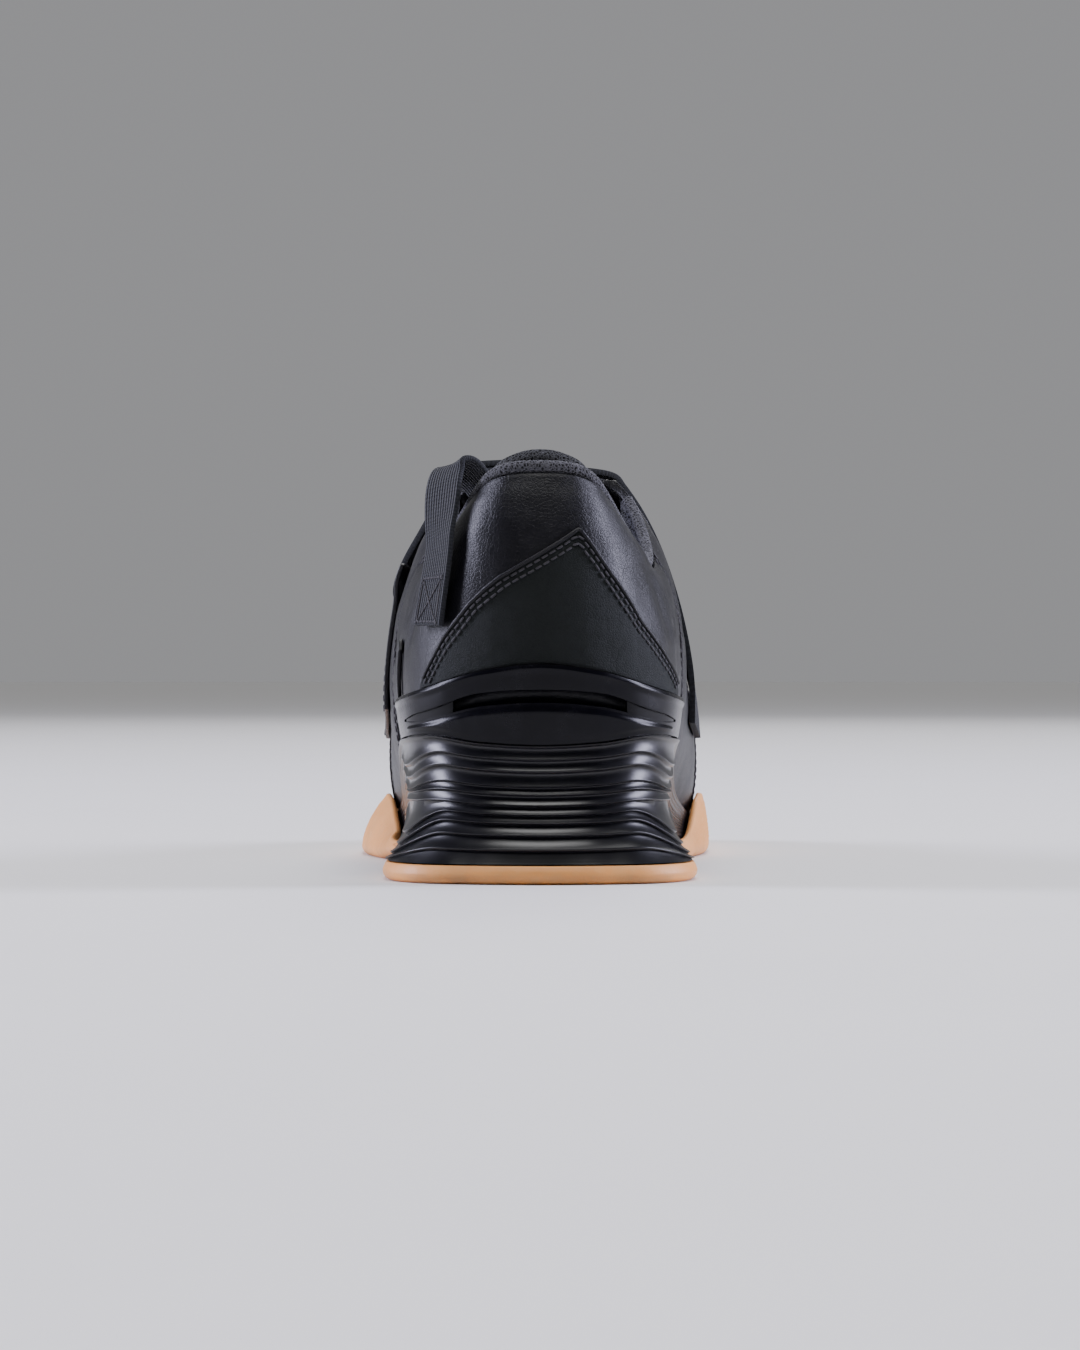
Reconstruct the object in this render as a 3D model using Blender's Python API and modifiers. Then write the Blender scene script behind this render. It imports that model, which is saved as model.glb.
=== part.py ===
# Weightlifting shoe, left foot, men's US 9. Metres, +Z up, +Y to the toe, +X to the medial side.
# The origin lies on the ground under the middle of the shoe's box.

from collections import namedtuple
import math

import bmesh
import bpy
from mathutils import Vector

# Driving sizes
SHOE_LENGTH = 0.290
HEEL_HALF = 0.0345
BALL_HALF = 0.046
COLLAR_HALF = 0.033
INSTEP_HEIGHT = 0.116
HEEL_SEAT = 0.030
BALL_SEAT = 0.010
TOE_SPRING = 0.006
ARCH_RISE = 0.0015
OUTSOLE_THICK = 0.0051
UPPER_WALL = 0.0022
SIDE_FULLNESS = 0.010
SIDE_RISE = 0.025
BROW_REACH = 0.030
BROW_DROP = 0.020
GAP = 0.0004

# Sole
HEEL_FLARE = 0.0110
REAR_FLARE = 0.0068
WING_FLARE_LATERAL = 0.0127
WING_FLARE_MEDIAL = 0.0072
WING_HEIGHT = 0.0140
WING_TOP = 0.0018
EDGE_ROUND = 0.0016
EDGE_REACH = 1.6 * EDGE_ROUND
EDGE_SLOPE_IN = 0.3 * EDGE_ROUND
EDGE_SLOPE_UP = 0.45 * EDGE_ROUND
LIP_INSET = 1.5 * EDGE_ROUND
FLOOR_INSET = 0.4 * EDGE_ROUND
WING_START = 0.25 * WING_HEIGHT
WING_BELLY = 0.55
WING_LEAN = 0.38
CUP_RIM = 0.0100
BLOCK_TOP = 0.0043
BLOCK_WAIST = 0.0018
BLOCK_FOOT = 0.0103
RIB_DEPTH = 0.0011
RIB_CRESTS = (0.13, 0.25, 0.35, 0.42, 0.50, 0.59, 0.66, 0.79, 0.89, 1.0)
RIB_SWEEP = 0.55
RIB_GROOVE = 0.35
RIB_SWEEP_AT = 0.09
RIB_SWEEP_WIDTH = 0.045
RIB_SWEEP_TOP = 0.4
BLOCK_MIDDLE = 0.5
BLOCK_CURVE = 1.6
INSOLE_THICK = 0.0040
INSOLE_ROUND = 0.0012
INSOLE_SHOULDER = 0.7

# Fittings
CLIP_HEIGHT = 0.0215
CLIP_THICK = 0.0018
CLIP_END = 10
CLIP_SLOT_END = 6
CLIP_CLEARANCE = 0.0010
COUNTER_TOP = 0.097
PATCH_THICK = 0.0010
PATCH_COLUMNS = 16
PATCH_ROWS = 5
STAY_THICK = 0.0012
STAY_LOW = 0.83
STAY_TOP = 0.985
STAY_FIRST = 18
STAY_ROWS = 3
BINDING_RADIUS = 0.0017
BINDING_END = 0.47
LOOP_WIDTH = 0.0140
WEBBING_THICK = 0.0016
TONGUE_THICK = 0.0040
TONGUE_PROUD = 0.0105
TONGUE_CROWN = 0.0030
TONGUE_TAPER = 0.28
TONGUE_SWEEPS = (0.88, 0.94, 1.0, 1.25, 1.5, 1.75, 2.0, 2.06, 2.12)
TONGUE_LIFTS = (0.0, 0.35, 0.7, 1.0)
TONGUE_UP = Vector((0, -0.45, 0.89))
TONGUE_TOE_END = 31
LACE_RADIUS = 0.0014
LACE_CROWN = 0.0010
LACE_STATIONS = (0.575, 0.63, 0.685, 0.74, 0.795)
LACE_SWEEPS = (0.945, 0.98, 1.15, 1.5, 1.85, 2.02, 2.055)
STRAP_THICK = 0.0018
STRAP_CROWN = 0.0038
STRAP_LINES = (0.568, 0.592, 0.616, 0.640)
TAB_THICK = 0.0014
TAB_FIRST = 18
TAB_COLUMNS = 5

SHARP_ANGLE = math.radians(40)

# Stations along each side, from the middle of the heel (0) to the middle of the toe (1)
STATIONS = 34
RISES = 11
# Steps along and up the surface from which its slopes are taken
RING_STEP = 0.004
RISE_STEP = 0.01

Section = namedtuple("Section", "at foot_y foot_half foot_mid edge_y edge_half edge_z edge_mid")
# Shares: y of SHOE_LENGTH, foot_half of the width there, mids of BALL_HALF,
# edge_half of COLLAR_HALF, edge_z of INSTEP_HEIGHT
SECTIONS = (
    Section(0.00, 0.0207, 0.000, 0.000, 0.0276, 0.000, 0.966, 0.000),
    Section(0.03, 0.0235, 0.235, 0.000, 0.0293, 0.170, 0.965, 0.000),
    Section(0.06, 0.0317, 0.461, 0.000, 0.0345, 0.325, 0.959, 0.000),
    Section(0.10, 0.0500, 0.704, 0.000, 0.0483, 0.475, 0.940, 0.000),
    Section(0.15, 0.0828, 0.905, 0.000, 0.0793, 0.615, 0.895, 0.000),
    Section(0.21, 0.1310, 0.990, 0.000, 0.1276, 0.775, 0.829, 0.000),
    Section(0.28, 0.1966, 1.015, -0.005, 0.1862, 0.935, 0.768, 0.000),
    Section(0.33, 0.2414, 1.020, -0.010, 0.2276, 1.000, 0.758, 0.000),
    Section(0.39, 0.3000, 1.018, -0.020, 0.2793, 1.000, 0.806, 0.000),
    Section(0.45, 0.3586, 0.980, -0.022, 0.3310, 0.910, 0.897, 0.000),
    Section(0.50, 0.4069, 0.945, -0.020, 0.3690, 0.760, 0.970, 0.000),
    Section(0.54, 0.4483, 0.928, -0.013, 0.3966, 0.595, 1.000, 0.000),
    Section(0.58, 0.4897, 0.920, 0.000, 0.4241, 0.515, 0.972, 0.004),
    Section(0.64, 0.5586, 0.946, 0.015, 0.4828, 0.455, 0.897, 0.010),
    Section(0.70, 0.6345, 0.983, 0.027, 0.5517, 0.395, 0.806, 0.020),
    Section(0.76, 0.7138, 1.000, 0.040, 0.6207, 0.335, 0.724, 0.030),
    Section(0.82, 0.8207, 0.945, 0.072, 0.6655, 0.270, 0.671, 0.038),
    Section(0.88, 0.9069, 0.800, 0.102, 0.6862, 0.190, 0.647, 0.042),
    Section(0.92, 0.9448, 0.600, 0.122, 0.6950, 0.128, 0.638, 0.043),
    Section(0.95, 0.9621, 0.420, 0.133, 0.6983, 0.078, 0.633, 0.043),
    Section(0.975, 0.9710, 0.235, 0.138, 0.7003, 0.037, 0.630, 0.043),
    Section(1.00, 0.9759, 0.000, 0.140, 0.7010, 0.000, 0.629, 0.043),
)

Rib = namedtuple("Rib", "at bulge rise brow drop")
# How the upper swells above the foot line and rounds in below the edge, in shares of
# SIDE_FULLNESS, SIDE_RISE, BROW_REACH and BROW_DROP
RIBS = (
    Rib(0.00, 0.70, 1.04, 0.27, 1.30),
    Rib(0.10, 0.70, 1.04, 0.33, 1.20),
    Rib(0.21, 0.70, 0.96, 0.42, 0.90),
    Rib(0.33, 0.70, 0.88, 0.28, 0.75),
    Rib(0.45, 1.10, 0.92, 0.50, 1.10),
    Rib(0.54, 1.45, 0.96, 0.84, 1.20),
    Rib(0.64, 1.30, 0.92, 0.86, 0.90),
    Rib(0.76, 0.75, 0.84, 0.96, 0.60),
    Rib(0.88, 0.72, 0.84, 1.20, 0.60),
    Rib(1.00, 0.80, 0.98, 1.53, 0.75),
)

Sole = namedtuple("Sole", "at rim top waist foot heel rear wing_flare wing_lateral wing_medial ribs")
# rim: cup rim above the bed, share of CUP_RIM. top, waist, foot: block outsets, shares of BLOCK_*.
# heel, rear, wing_flare: how much each outsole flare counts. wing_*: share of WING_HEIGHT.
SOLES = (
    Sole(0.00, 0.71, 0.75, 0.75, 0.50, 0.00, 1.00, 0.00, 0.00, 0.00, 1.0),
    Sole(0.06, 0.80, 0.85, 0.85, 0.64, 0.30, 0.66, 0.00, 0.00, 0.00, 1.0),
    Sole(0.11, 0.98, 1.00, 1.00, 0.96, 0.95, 0.10, 0.00, 0.00, 0.00, 1.0),
    Sole(0.17, 0.90, 1.00, 1.00, 1.00, 1.00, 0.00, 0.00, 0.00, 0.00, 1.0),
    Sole(0.28, 0.75, 1.05, 1.20, 0.62, 0.72, 0.00, 0.00, 0.00, 0.00, 0.9),
    Sole(0.38, 0.60, 1.15, 1.60, 0.36, 0.46, 0.00, 0.00, 0.00, 0.00, 0.7),
    Sole(0.48, 0.42, 1.10, 1.80, 0.35, 0.30, 0.00, 0.20, 0.00, 0.00, 0.5),
    Sole(0.56, 0.28, 0.80, 1.30, 0.30, 0.15, 0.00, 0.50, 0.03, 0.00, 0.3),
    Sole(0.62, 0.18, 0.62, 1.20, 0.28, 0.00, 0.00, 0.85, 0.65, 0.20, 0.1),
    Sole(0.67, 0.15, 0.58, 1.20, 0.28, 0.00, 0.00, 1.00, 1.00, 0.88, 0.0),
    Sole(0.72, 0.15, 0.58, 1.20, 0.28, 0.00, 0.00, 1.00, 0.92, 1.00, 0.0),
    Sole(0.80, 0.15, 0.58, 1.20, 0.28, 0.00, 0.00, 0.85, 0.62, 0.70, 0.0),
    Sole(0.90, 0.15, 0.58, 1.20, 0.28, 0.00, 0.00, 0.62, 0.52, 0.52, 0.0),
    Sole(1.00, 0.15, 0.58, 1.20, 0.28, 0.00, 0.00, 0.50, 0.66, 0.66, 0.0),
)

Clip = namedtuple("Clip", "at foot lens slot top")
# Heights above the midsole's rim, in shares of CLIP_HEIGHT
CLIPS = (
    Clip(0.00, 0.0, 0.53, 0.665, 1.00),
    Clip(0.06, 0.0, 0.43, 0.570, 0.86),
    Clip(0.11, 0.0, 0.20, 0.320, 0.61),
    Clip(0.17, 0.0, 0.15, 0.240, 0.52),
    Clip(0.30, 0.0, 0.17, 0.210, 0.50),
)

Counter = namedtuple("Counter", "at top")
# The patch's top edge around the heel, from lateral (minus) to medial, in shares of COUNTER_TOP
COUNTERS = (
    Counter(-0.137, 0.560),
    Counter(-0.105, 0.690),
    Counter(-0.078, 0.785),
    Counter(-0.045, 0.862),
    Counter(0.048, 1.000),
    Counter(0.090, 0.848),
    Counter(0.115, 0.742),
    Counter(0.155, 0.640),
    Counter(0.200, 0.560),
)

Loop = namedtuple("Loop", "ring rise proud lift tilt")
# The pull loop's run: proud and lift in shares of LOOP_WIDTH, tilt the rise of its front edge
LOOPS = (
    Loop(-0.128, 0.510, 0.17, 0.00, 0.00),
    Loop(-0.130, 0.590, 0.17, 0.00, 0.05),
    Loop(-0.133, 0.690, 0.19, 0.00, 0.15),
    Loop(-0.137, 0.800, 0.26, 0.00, 0.25),
    Loop(-0.143, 0.900, 0.38, 0.06, 0.35),
    Loop(-0.149, 0.985, 0.46, 0.36, 0.35),
    Loop(-0.154, 1.000, 0.30, 0.68, 0.25),
    Loop(-0.157, 1.000, -0.10, 0.76, 0.10),
    Loop(-0.159, 1.000, -0.54, 0.50, 0.00),
    Loop(-0.160, 0.940, -0.58, 0.00, 0.00),
    Loop(-0.160, 0.850, -0.44, 0.00, 0.00),
)

Strap = namedtuple("Strap", "sweep proud")
# The strap's run from its medial seam over the instep, through the tab and back on itself:
# sweep as in over_point, proud in shares of STRAP_THICK
STRAPS = (
    Strap(2.72, 0.80),
    Strap(2.58, 0.85),
    Strap(2.42, 1.00),
    Strap(2.27, 1.70),
    Strap(2.15, 2.60),
    Strap(2.05, 3.40),
    Strap(2.00, 3.45),
    Strap(1.75, 2.30),
    Strap(1.50, 2.00),
    Strap(1.25, 2.30),
    Strap(1.00, 3.45),
    Strap(0.94, 3.20),
    Strap(0.86, 2.20),
    Strap(0.78, 1.15),
    Strap(0.70, 0.90),
    Strap(0.645, 0.95),
    Strap(0.622, 1.45),
    Strap(0.616, 2.20),
    Strap(0.630, 2.95),
    Strap(0.665, 3.45),
    Strap(0.72, 3.60),
    Strap(0.80, 3.60),
    Strap(0.88, 4.20),
    Strap(0.95, 5.10),
    Strap(1.02, 5.50),
    Strap(1.25, 4.20),
    Strap(1.50, 3.80),
    Strap(1.72, 4.00),
)

Tab = namedtuple("Tab", "rise proud")
# The tab's rows up the side, proud in shares of TAB_THICK; the strap's slot is between rows 2 and 3
TABS = (Tab(0.30, 0.35), Tab(0.45, 0.35), Tab(0.585, 0.90), Tab(0.655, 2.10), Tab(0.700, 2.20))
TAB_SLOT_ROW = 2


def smooth_step(low, high, value):
    share = min(1.0, max(0.0, (value - low) / (high - low)))
    return share * share * (3 - 2 * share)


def read(table, column, at):
    """A named column of a table, read as a smooth curve between its rows."""
    at = min(max(at, table[0].at), table[-1].at)
    last = len(table) - 1
    low = max(i for i in range(last) if table[i].at <= at)

    def slope(i):
        ends = (max(i - 1, 0), min(i + 1, last))
        if i in (0, last) and not column.endswith("half"):
            return 0.0
        rise = getattr(table[ends[1]], column) - getattr(table[ends[0]], column)
        return rise / (table[ends[1]].at - table[ends[0]].at)

    span = table[low + 1].at - table[low].at
    t = (at - table[low].at) / span
    start = getattr(table[low], column)
    end = getattr(table[low + 1], column)
    return (
        start * (1 + 2 * t) * (1 - t) ** 2
        + slope(low) * span * t * (1 - t) ** 2
        + end * t * t * (3 - 2 * t)
        - slope(low + 1) * span * t * t * (1 - t)
    )


def wrap(ring):
    """Ring runs from -1 (toe) by the lateral side, 0 (heel) and the medial side to 1 (toe)."""
    if ring > 1:
        ring -= 2
    if ring < -1:
        ring += 2
    return (-1 if ring < 0 else 1), abs(ring)


def width_at(station):
    return HEEL_HALF + (BALL_HALF - HEEL_HALF) * smooth_step(0.36, 0.70, station)


def spring(y):
    return TOE_SPRING * max(0.0, (y / SHOE_LENGTH - 0.78) / 0.22) ** 2


def bed_height(y):
    return HEEL_SEAT + (BALL_SEAT - HEEL_SEAT) * smooth_step(0.20, 0.66, y / SHOE_LENGTH) + spring(y)


def ground_height(y):
    share = y / SHOE_LENGTH
    arch = smooth_step(0.34, 0.40, share) * (1 - smooth_step(0.46, 0.53, share))
    return ARCH_RISE * arch + spring(y)


def foot_point(ring):
    """The foot line, where the upper's outer face meets the bed."""
    side, station = wrap(ring)
    y = read(SECTIONS, "foot_y", station) * SHOE_LENGTH
    half = read(SECTIONS, "foot_half", station) * width_at(station)
    x = read(SECTIONS, "foot_mid", station) * BALL_HALF + side * half
    return Vector((x, y, bed_height(y) + GAP))


def foot_normal(ring):
    """Outwards in plan from the foot line."""
    along = foot_point(ring + RING_STEP) - foot_point(ring - RING_STEP)
    return Vector((along.y, -along.x, 0)).normalized()


def edge_point(ring):
    """The edge of collar and throat."""
    side, station = wrap(ring)
    half = read(SECTIONS, "edge_half", station) * COLLAR_HALF
    return Vector((
        read(SECTIONS, "edge_mid", station) * BALL_HALF + side * half,
        read(SECTIONS, "edge_y", station) * SHOE_LENGTH,
        read(SECTIONS, "edge_z", station) * INSTEP_HEIGHT,
    ))


def shell_point(ring, rise):
    """The upper's outer face: rise 0 on the foot line, 1 on the edge of collar and throat."""
    station = wrap(ring)[1]
    out = foot_normal(ring)
    foot = foot_point(ring)
    edge = edge_point(ring)
    low = foot + out * read(RIBS, "bulge", station) * SIDE_FULLNESS
    low.z += read(RIBS, "rise", station) * SIDE_RISE
    high = edge + out * read(RIBS, "brow", station) * BROW_REACH
    high.z -= read(RIBS, "drop", station) * BROW_DROP
    left = 1 - rise
    return foot * left**3 + low * 3 * left * left * rise + high * 3 * left * rise * rise + edge * rise**3


def shell_normal(ring, rise):
    low, high = max(0.0, rise - RISE_STEP), min(1.0, rise + RISE_STEP)
    up = shell_point(ring, high) - shell_point(ring, low)
    along = shell_point(ring + RING_STEP, rise) - shell_point(ring - RING_STEP, rise)
    return along.cross(up).normalized()


def upper_point(ring, rise, proud=0.0):
    """A point proud of the upper's outer face, or inside it where proud is negative."""
    return shell_point(ring, rise) + shell_normal(ring, rise) * proud


def facet_point(ring, rise, proud):
    """As upper_point, on the flat facet between two stations, so that an overlay lies parallel to it."""
    place = ring * STATIONS
    low = math.floor(place)
    start = upper_point(low / STATIONS, rise, proud)
    end = upper_point((low + 1) / STATIONS, rise, proud)
    return start.lerp(end, place - low)


def rise_at_height(ring, z):
    """The rise at which the upper's outer face reaches a height."""
    low, high = 0.0, 1.0
    for _ in range(22):
        middle = (low + high) / 2
        if shell_point(ring, middle).z < z:
            low = middle
        else:
            high = middle
    return (low + high) / 2


def over_point(station, sweep, proud, crown):
    """Across the instep: sweep 0 to 1 is the lateral rise, 1 to 2 the throat, 2 to 3 the medial fall."""
    if sweep <= 1:
        return upper_point(-station, sweep, proud)
    if sweep >= 2:
        return upper_point(station, 3 - sweep, proud)
    share = sweep - 1
    start = upper_point(-station, 1, proud)
    end = upper_point(station, 1, proud)
    middle = start.lerp(end, share)
    return middle + Vector((0, 0, crown * 4 * share * (1 - share)))


def outline_ring(place):
    """One closed ring of points, from a function of ring."""
    lateral = [place(-i / STATIONS) for i in range(STATIONS + 1)]
    medial = [place(i / STATIONS) for i in range(STATIONS - 1, 0, -1)]
    return lateral + medial


def loft(rows, closed):
    """Points and quads between rows of equal length."""
    count = len(rows[0])
    points = [point for row in rows for point in row]
    faces = []
    for r in range(len(rows) - 1):
        for i in range(count if closed else count - 1):
            j = (i + 1) % count
            faces.append((r * count + i, r * count + j, (r + 1) * count + j, (r + 1) * count + i))
    return points, faces


def ladder_cap(first):
    """Quads across one outline ring, lateral to medial, with a triangle at heel and toe."""
    count = 2 * STATIONS
    faces = [(first, first + 1, first + count - 1)]
    for i in range(1, STATIONS - 1):
        faces.append((first + i, first + i + 1, first + count - i - 1, first + count - i))
    faces.append((first + STATIONS - 1, first + STATIONS, first + STATIONS + 1))
    return faces


def mesh_object(name, points, faces, material):
    mesh = bpy.data.meshes.new(name)
    mesh.from_pydata([point - ORIGIN for point in points], [], faces)
    shape = bmesh.new()
    shape.from_mesh(mesh)
    bmesh.ops.recalc_face_normals(shape, faces=shape.faces)
    shape.to_mesh(mesh)
    shape.free()
    mesh.shade_smooth()
    mesh.set_sharp_from_angle(angle=SHARP_ANGLE)
    mesh.materials.append(material)
    thing = bpy.data.objects.new(name, mesh)
    SHOE.objects.link(thing)
    return thing


def ring_solid(name, rows, material):
    """A closed solid from stacked outline rings, capped at both ends."""
    points, faces = loft(rows, True)
    faces += ladder_cap(0)
    faces += ladder_cap(len(rows[0]) * (len(rows) - 1))
    return mesh_object(name, points, faces, material)


def slab(name, place, columns, rows, skip, material):
    """A curved plate from place(column, row, face) with face 0 inside and 1 outside; skip leaves holes."""
    cells = [(c, r) for c in range(columns) for r in range(rows) if not skip(c, r)]
    index = {}
    points = []
    for cell in cells:
        for corner in ((0, 0), (1, 0), (1, 1), (0, 1)):
            key = (cell[0] + corner[0], cell[1] + corner[1])
            if key not in index:
                index[key] = len(points)
                points.append(place(key[0], key[1], 0))
                points.append(place(key[0], key[1], 1))
    faces = []
    borders = {}
    for c, r in cells:
        around = [(c, r), (c + 1, r), (c + 1, r + 1), (c, r + 1)]
        inner = [index[key] for key in around]
        faces.append(tuple(reversed(inner)))
        faces.append(tuple(i + 1 for i in inner))
        for i in range(4):
            a, b = inner[i], inner[(i + 1) % 4]
            if (b, a) in borders:
                del borders[(b, a)]
            else:
                borders[(a, b)] = True
    faces += [(a, b, b + 1, a + 1) for a, b in borders]
    return mesh_object(name, points, faces, material)


def band(name, path, across, width, thick, material):
    """A flat strip along a path; across gives the width direction at each point."""
    rows = []
    for i, point in enumerate(path):
        ahead = path[min(i + 1, len(path) - 1)] - path[max(i - 1, 0)]
        side = across[i] - ahead * (across[i].dot(ahead) / ahead.length_squared)
        side.normalize()
        up = side.cross(ahead).normalized() * thick / 2
        side *= width / 2
        rows.append([point - side - up, point + side - up, point + side + up, point - side + up])
    points, faces = loft(rows, True)
    faces.append((0, 1, 2, 3))
    faces.append(tuple(len(points) - 4 + i for i in range(4)))
    return mesh_object(name, points, faces, material)


def tube(name, path, radius, material, resolution=2):
    """A round cord along a path, as a bevelled curve."""
    curve = bpy.data.curves.new(name, "CURVE")
    curve.dimensions = "3D"
    curve.bevel_depth = radius
    curve.bevel_resolution = resolution
    curve.use_fill_caps = True
    spline = curve.splines.new("POLY")
    spline.points.add(len(path) - 1)
    for spot, point in zip(spline.points, path):
        spot.co = (*(point - ORIGIN), 1)
    curve.materials.append(material)
    thing = bpy.data.objects.new(name, curve)
    SHOE.objects.link(thing)
    return thing


def finish(name, color, roughness, metallic=0.0):
    material = bpy.data.materials.new(name)
    material.use_nodes = True
    shader = material.node_tree.nodes["Principled BSDF"]
    shader.inputs["Base Color"].default_value = (*color, 1)
    shader.inputs["Roughness"].default_value = roughness
    shader.inputs["Metallic"].default_value = metallic
    return material


def outsole_flare(ring):
    side, station = wrap(ring)
    wing = WING_FLARE_LATERAL if side < 0 else WING_FLARE_MEDIAL
    return (
        read(SOLES, "heel", station) * HEEL_FLARE
        + read(SOLES, "rear", station) * REAR_FLARE
        + read(SOLES, "wing_flare", station) * wing
    )


def cup_height(ring):
    """Top of the midsole's rim."""
    return foot_point(ring).z + read(SOLES, "rim", wrap(ring)[1]) * CUP_RIM


def wing_height(ring):
    """How far the outsole's side stands above its plate."""
    side, station = wrap(ring)
    return max(0.0, read(SOLES, "wing_lateral" if side < 0 else "wing_medial", station)) * WING_HEIGHT


def cup_wall(ring, z):
    """The upper's outer face at a height, with its clearance."""
    return upper_point(ring, rise_at_height(ring, z), GAP)


def block_out(ring, share, rib):
    """How far the midsole's side stands out of the foot line; rib -1 in a groove, 1 on a crest."""
    station = wrap(ring)[1]
    top = read(SOLES, "top", station) * BLOCK_TOP
    waist = read(SOLES, "waist", station) * BLOCK_WAIST
    foot = read(SOLES, "foot", station) * BLOCK_FOOT
    reach = share / BLOCK_MIDDLE - 1
    if reach > 0:
        out = waist + (top - waist) * reach**BLOCK_CURVE
    else:
        out = waist + (foot - waist) * reach**2
    return out + rib * RIB_DEPTH / 2 * read(SOLES, "ribs", station)


def block_point(ring, share, rib):
    """The midsole's side: share 0 on the outsole, 1 at the rim."""
    low = foot_point(ring)
    bottom = ground_height(low.y) + OUTSOLE_THICK + GAP
    spot = low + foot_normal(ring) * block_out(ring, share, rib)
    corner = math.exp(-(((wrap(ring)[1] - RIB_SWEEP_AT) / RIB_SWEEP_WIDTH) ** 2))
    share *= 1 - RIB_SWEEP * corner * max(0.0, RIB_SWEEP_TOP - share) / RIB_SWEEP_TOP
    spot.z = bottom + (cup_height(ring) - bottom) * share
    return spot


def outsole_point(ring, out, z):
    low = foot_point(ring)
    spot = low + foot_normal(ring) * out
    spot.z = ground_height(low.y) + z
    return spot


def inner_wall_out(ring, z):
    """How far out of the foot line the outsole's inner face lies, clear of midsole and upper."""
    low = foot_point(ring)
    wall = cup_wall(ring, max(z, low.z))
    widest = max(block_out(ring, share, 1) for share in (0.0, BLOCK_MIDDLE, *RIB_CRESTS))
    return max((wall - low).dot(foot_normal(ring)), widest) + GAP


def build_outsole():
    def bottom(ring):
        return outsole_point(ring, outsole_flare(ring) - EDGE_REACH, 0)

    def edge_low(ring):
        return outsole_point(ring, outsole_flare(ring) - EDGE_SLOPE_IN, EDGE_SLOPE_UP)

    def edge_mid(ring):
        return outsole_point(ring, outsole_flare(ring), EDGE_REACH)

    def top_z(ring):
        return OUTSOLE_THICK + wing_height(ring)

    def top_in(ring):
        tall = smooth_step(0, WING_START, wing_height(ring))
        plain = outsole_flare(ring) - LIP_INSET
        inner = inner_wall_out(ring, ground_height(foot_point(ring).y) + top_z(ring))
        if wing_height(ring) > 0 and inner > plain:
            return inner
        return plain + (inner - plain) * tall

    def top_out(ring):
        tall = smooth_step(0, WING_START, wing_height(ring))
        return top_in(ring) + EDGE_ROUND + (WING_TOP - EDGE_ROUND) * tall

    def side_mid(ring):
        z = EDGE_REACH + (top_z(ring) - EDGE_REACH) * WING_BELLY
        out = outsole_flare(ring) + (top_out(ring) - outsole_flare(ring)) * WING_LEAN
        return outsole_point(ring, out, z)

    def floor_in(ring):
        out = top_in(ring) - FLOOR_INSET
        if wing_height(ring) > 0:
            out = min(top_in(ring), max(out, inner_wall_out(ring, 0)))
        return outsole_point(ring, out, OUTSOLE_THICK)

    rows = [
        outline_ring(bottom),
        outline_ring(edge_low),
        outline_ring(edge_mid),
        outline_ring(side_mid),
        outline_ring(lambda ring: outsole_point(ring, top_out(ring), top_z(ring))),
        outline_ring(lambda ring: outsole_point(ring, top_in(ring), top_z(ring))),
        outline_ring(floor_in),
    ]
    return ring_solid("outsole", rows, GUM)


def build_midsole():
    rows = [outline_ring(lambda ring: block_point(ring, 0, -1))]
    below = 0.0
    for crest in RIB_CRESTS:
        groove = below + (crest - below) * RIB_GROOVE
        for share, rib in ((groove, -1), (crest, 1)):
            rows.append(outline_ring(lambda ring, s=share, r=rib: block_point(ring, s, r)))
        below = crest
    rows.append(outline_ring(lambda ring: cup_wall(ring, cup_height(ring))))

    def bed_edge(ring):
        spot = upper_point(ring, 0, GAP)
        spot.z = foot_point(ring).z - GAP
        return spot

    rows.append(outline_ring(bed_edge))
    return ring_solid("midsole", rows, FOAM)


def faces_outwards(thing):
    """True where the first heel face points back, as an outer face does."""
    return thing.data.polygons[0].normal.y < 0


def build_upper():
    rows = [
        outline_ring(lambda ring, r=row: shell_point(ring, r / RISES))
        for row in range(RISES + 1)
    ]
    points, faces = loft(rows, True)
    upper = mesh_object("upper", points, faces, LEATHER)
    wall = upper.modifiers.new("wall", "SOLIDIFY")
    wall.thickness = UPPER_WALL
    wall.offset = -1 if faces_outwards(upper) else 1
    return upper


def build_insole():
    inset = -(UPPER_WALL + 2 * GAP)

    def insole_ring(height, more):
        def place(ring):
            spot = foot_point(ring) + foot_normal(ring) * (inset - more)
            spot.z += height
            return spot

        return outline_ring(place)

    shoulder = INSOLE_THICK * INSOLE_SHOULDER
    rows = [insole_ring(0, 0), insole_ring(shoulder, 0), insole_ring(INSOLE_THICK, INSOLE_ROUND)]
    return ring_solid("insole", rows, TEXTILE)


def clip_base(ring):
    """Clear of the rim, also where the upper's side leans out."""
    return cup_height(ring) + CLIP_CLEARANCE


def clip_top(ring):
    return clip_base(ring) + read(CLIPS, "top", abs(ring)) * CLIP_HEIGHT


def build_clip():
    """The heel band, its slot and the bare lens-shaped plate below the slot."""
    def place(column, row, face):
        ring = (column - CLIP_END) / STATIONS
        station = abs(ring)
        base = clip_base(ring)
        level = read(CLIPS, ("foot", "lens", "slot", "top")[row], station)
        rise = rise_at_height(ring, base + level * CLIP_HEIGHT)
        return upper_point(ring, rise, GAP + face * CLIP_THICK)

    def slot(column, row):
        return row == 1 and abs(column + 0.5 - CLIP_END) < CLIP_SLOT_END

    return slab("heel_clip", place, 2 * CLIP_END, 3, slot, PLASTIC)


def counter_top(ring):
    """Straight between the table's rows, so that the apex stays a point."""
    rows = [row for row in COUNTERS if row.at <= ring]
    low = rows[-1] if rows else COUNTERS[0]
    high = next((row for row in COUNTERS if row.at > ring), COUNTERS[-1])
    share = (ring - low.at) / (high.at - low.at) if high.at > low.at else 0.0
    return COUNTER_TOP * (low.top + (high.top - low.top) * share)


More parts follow.
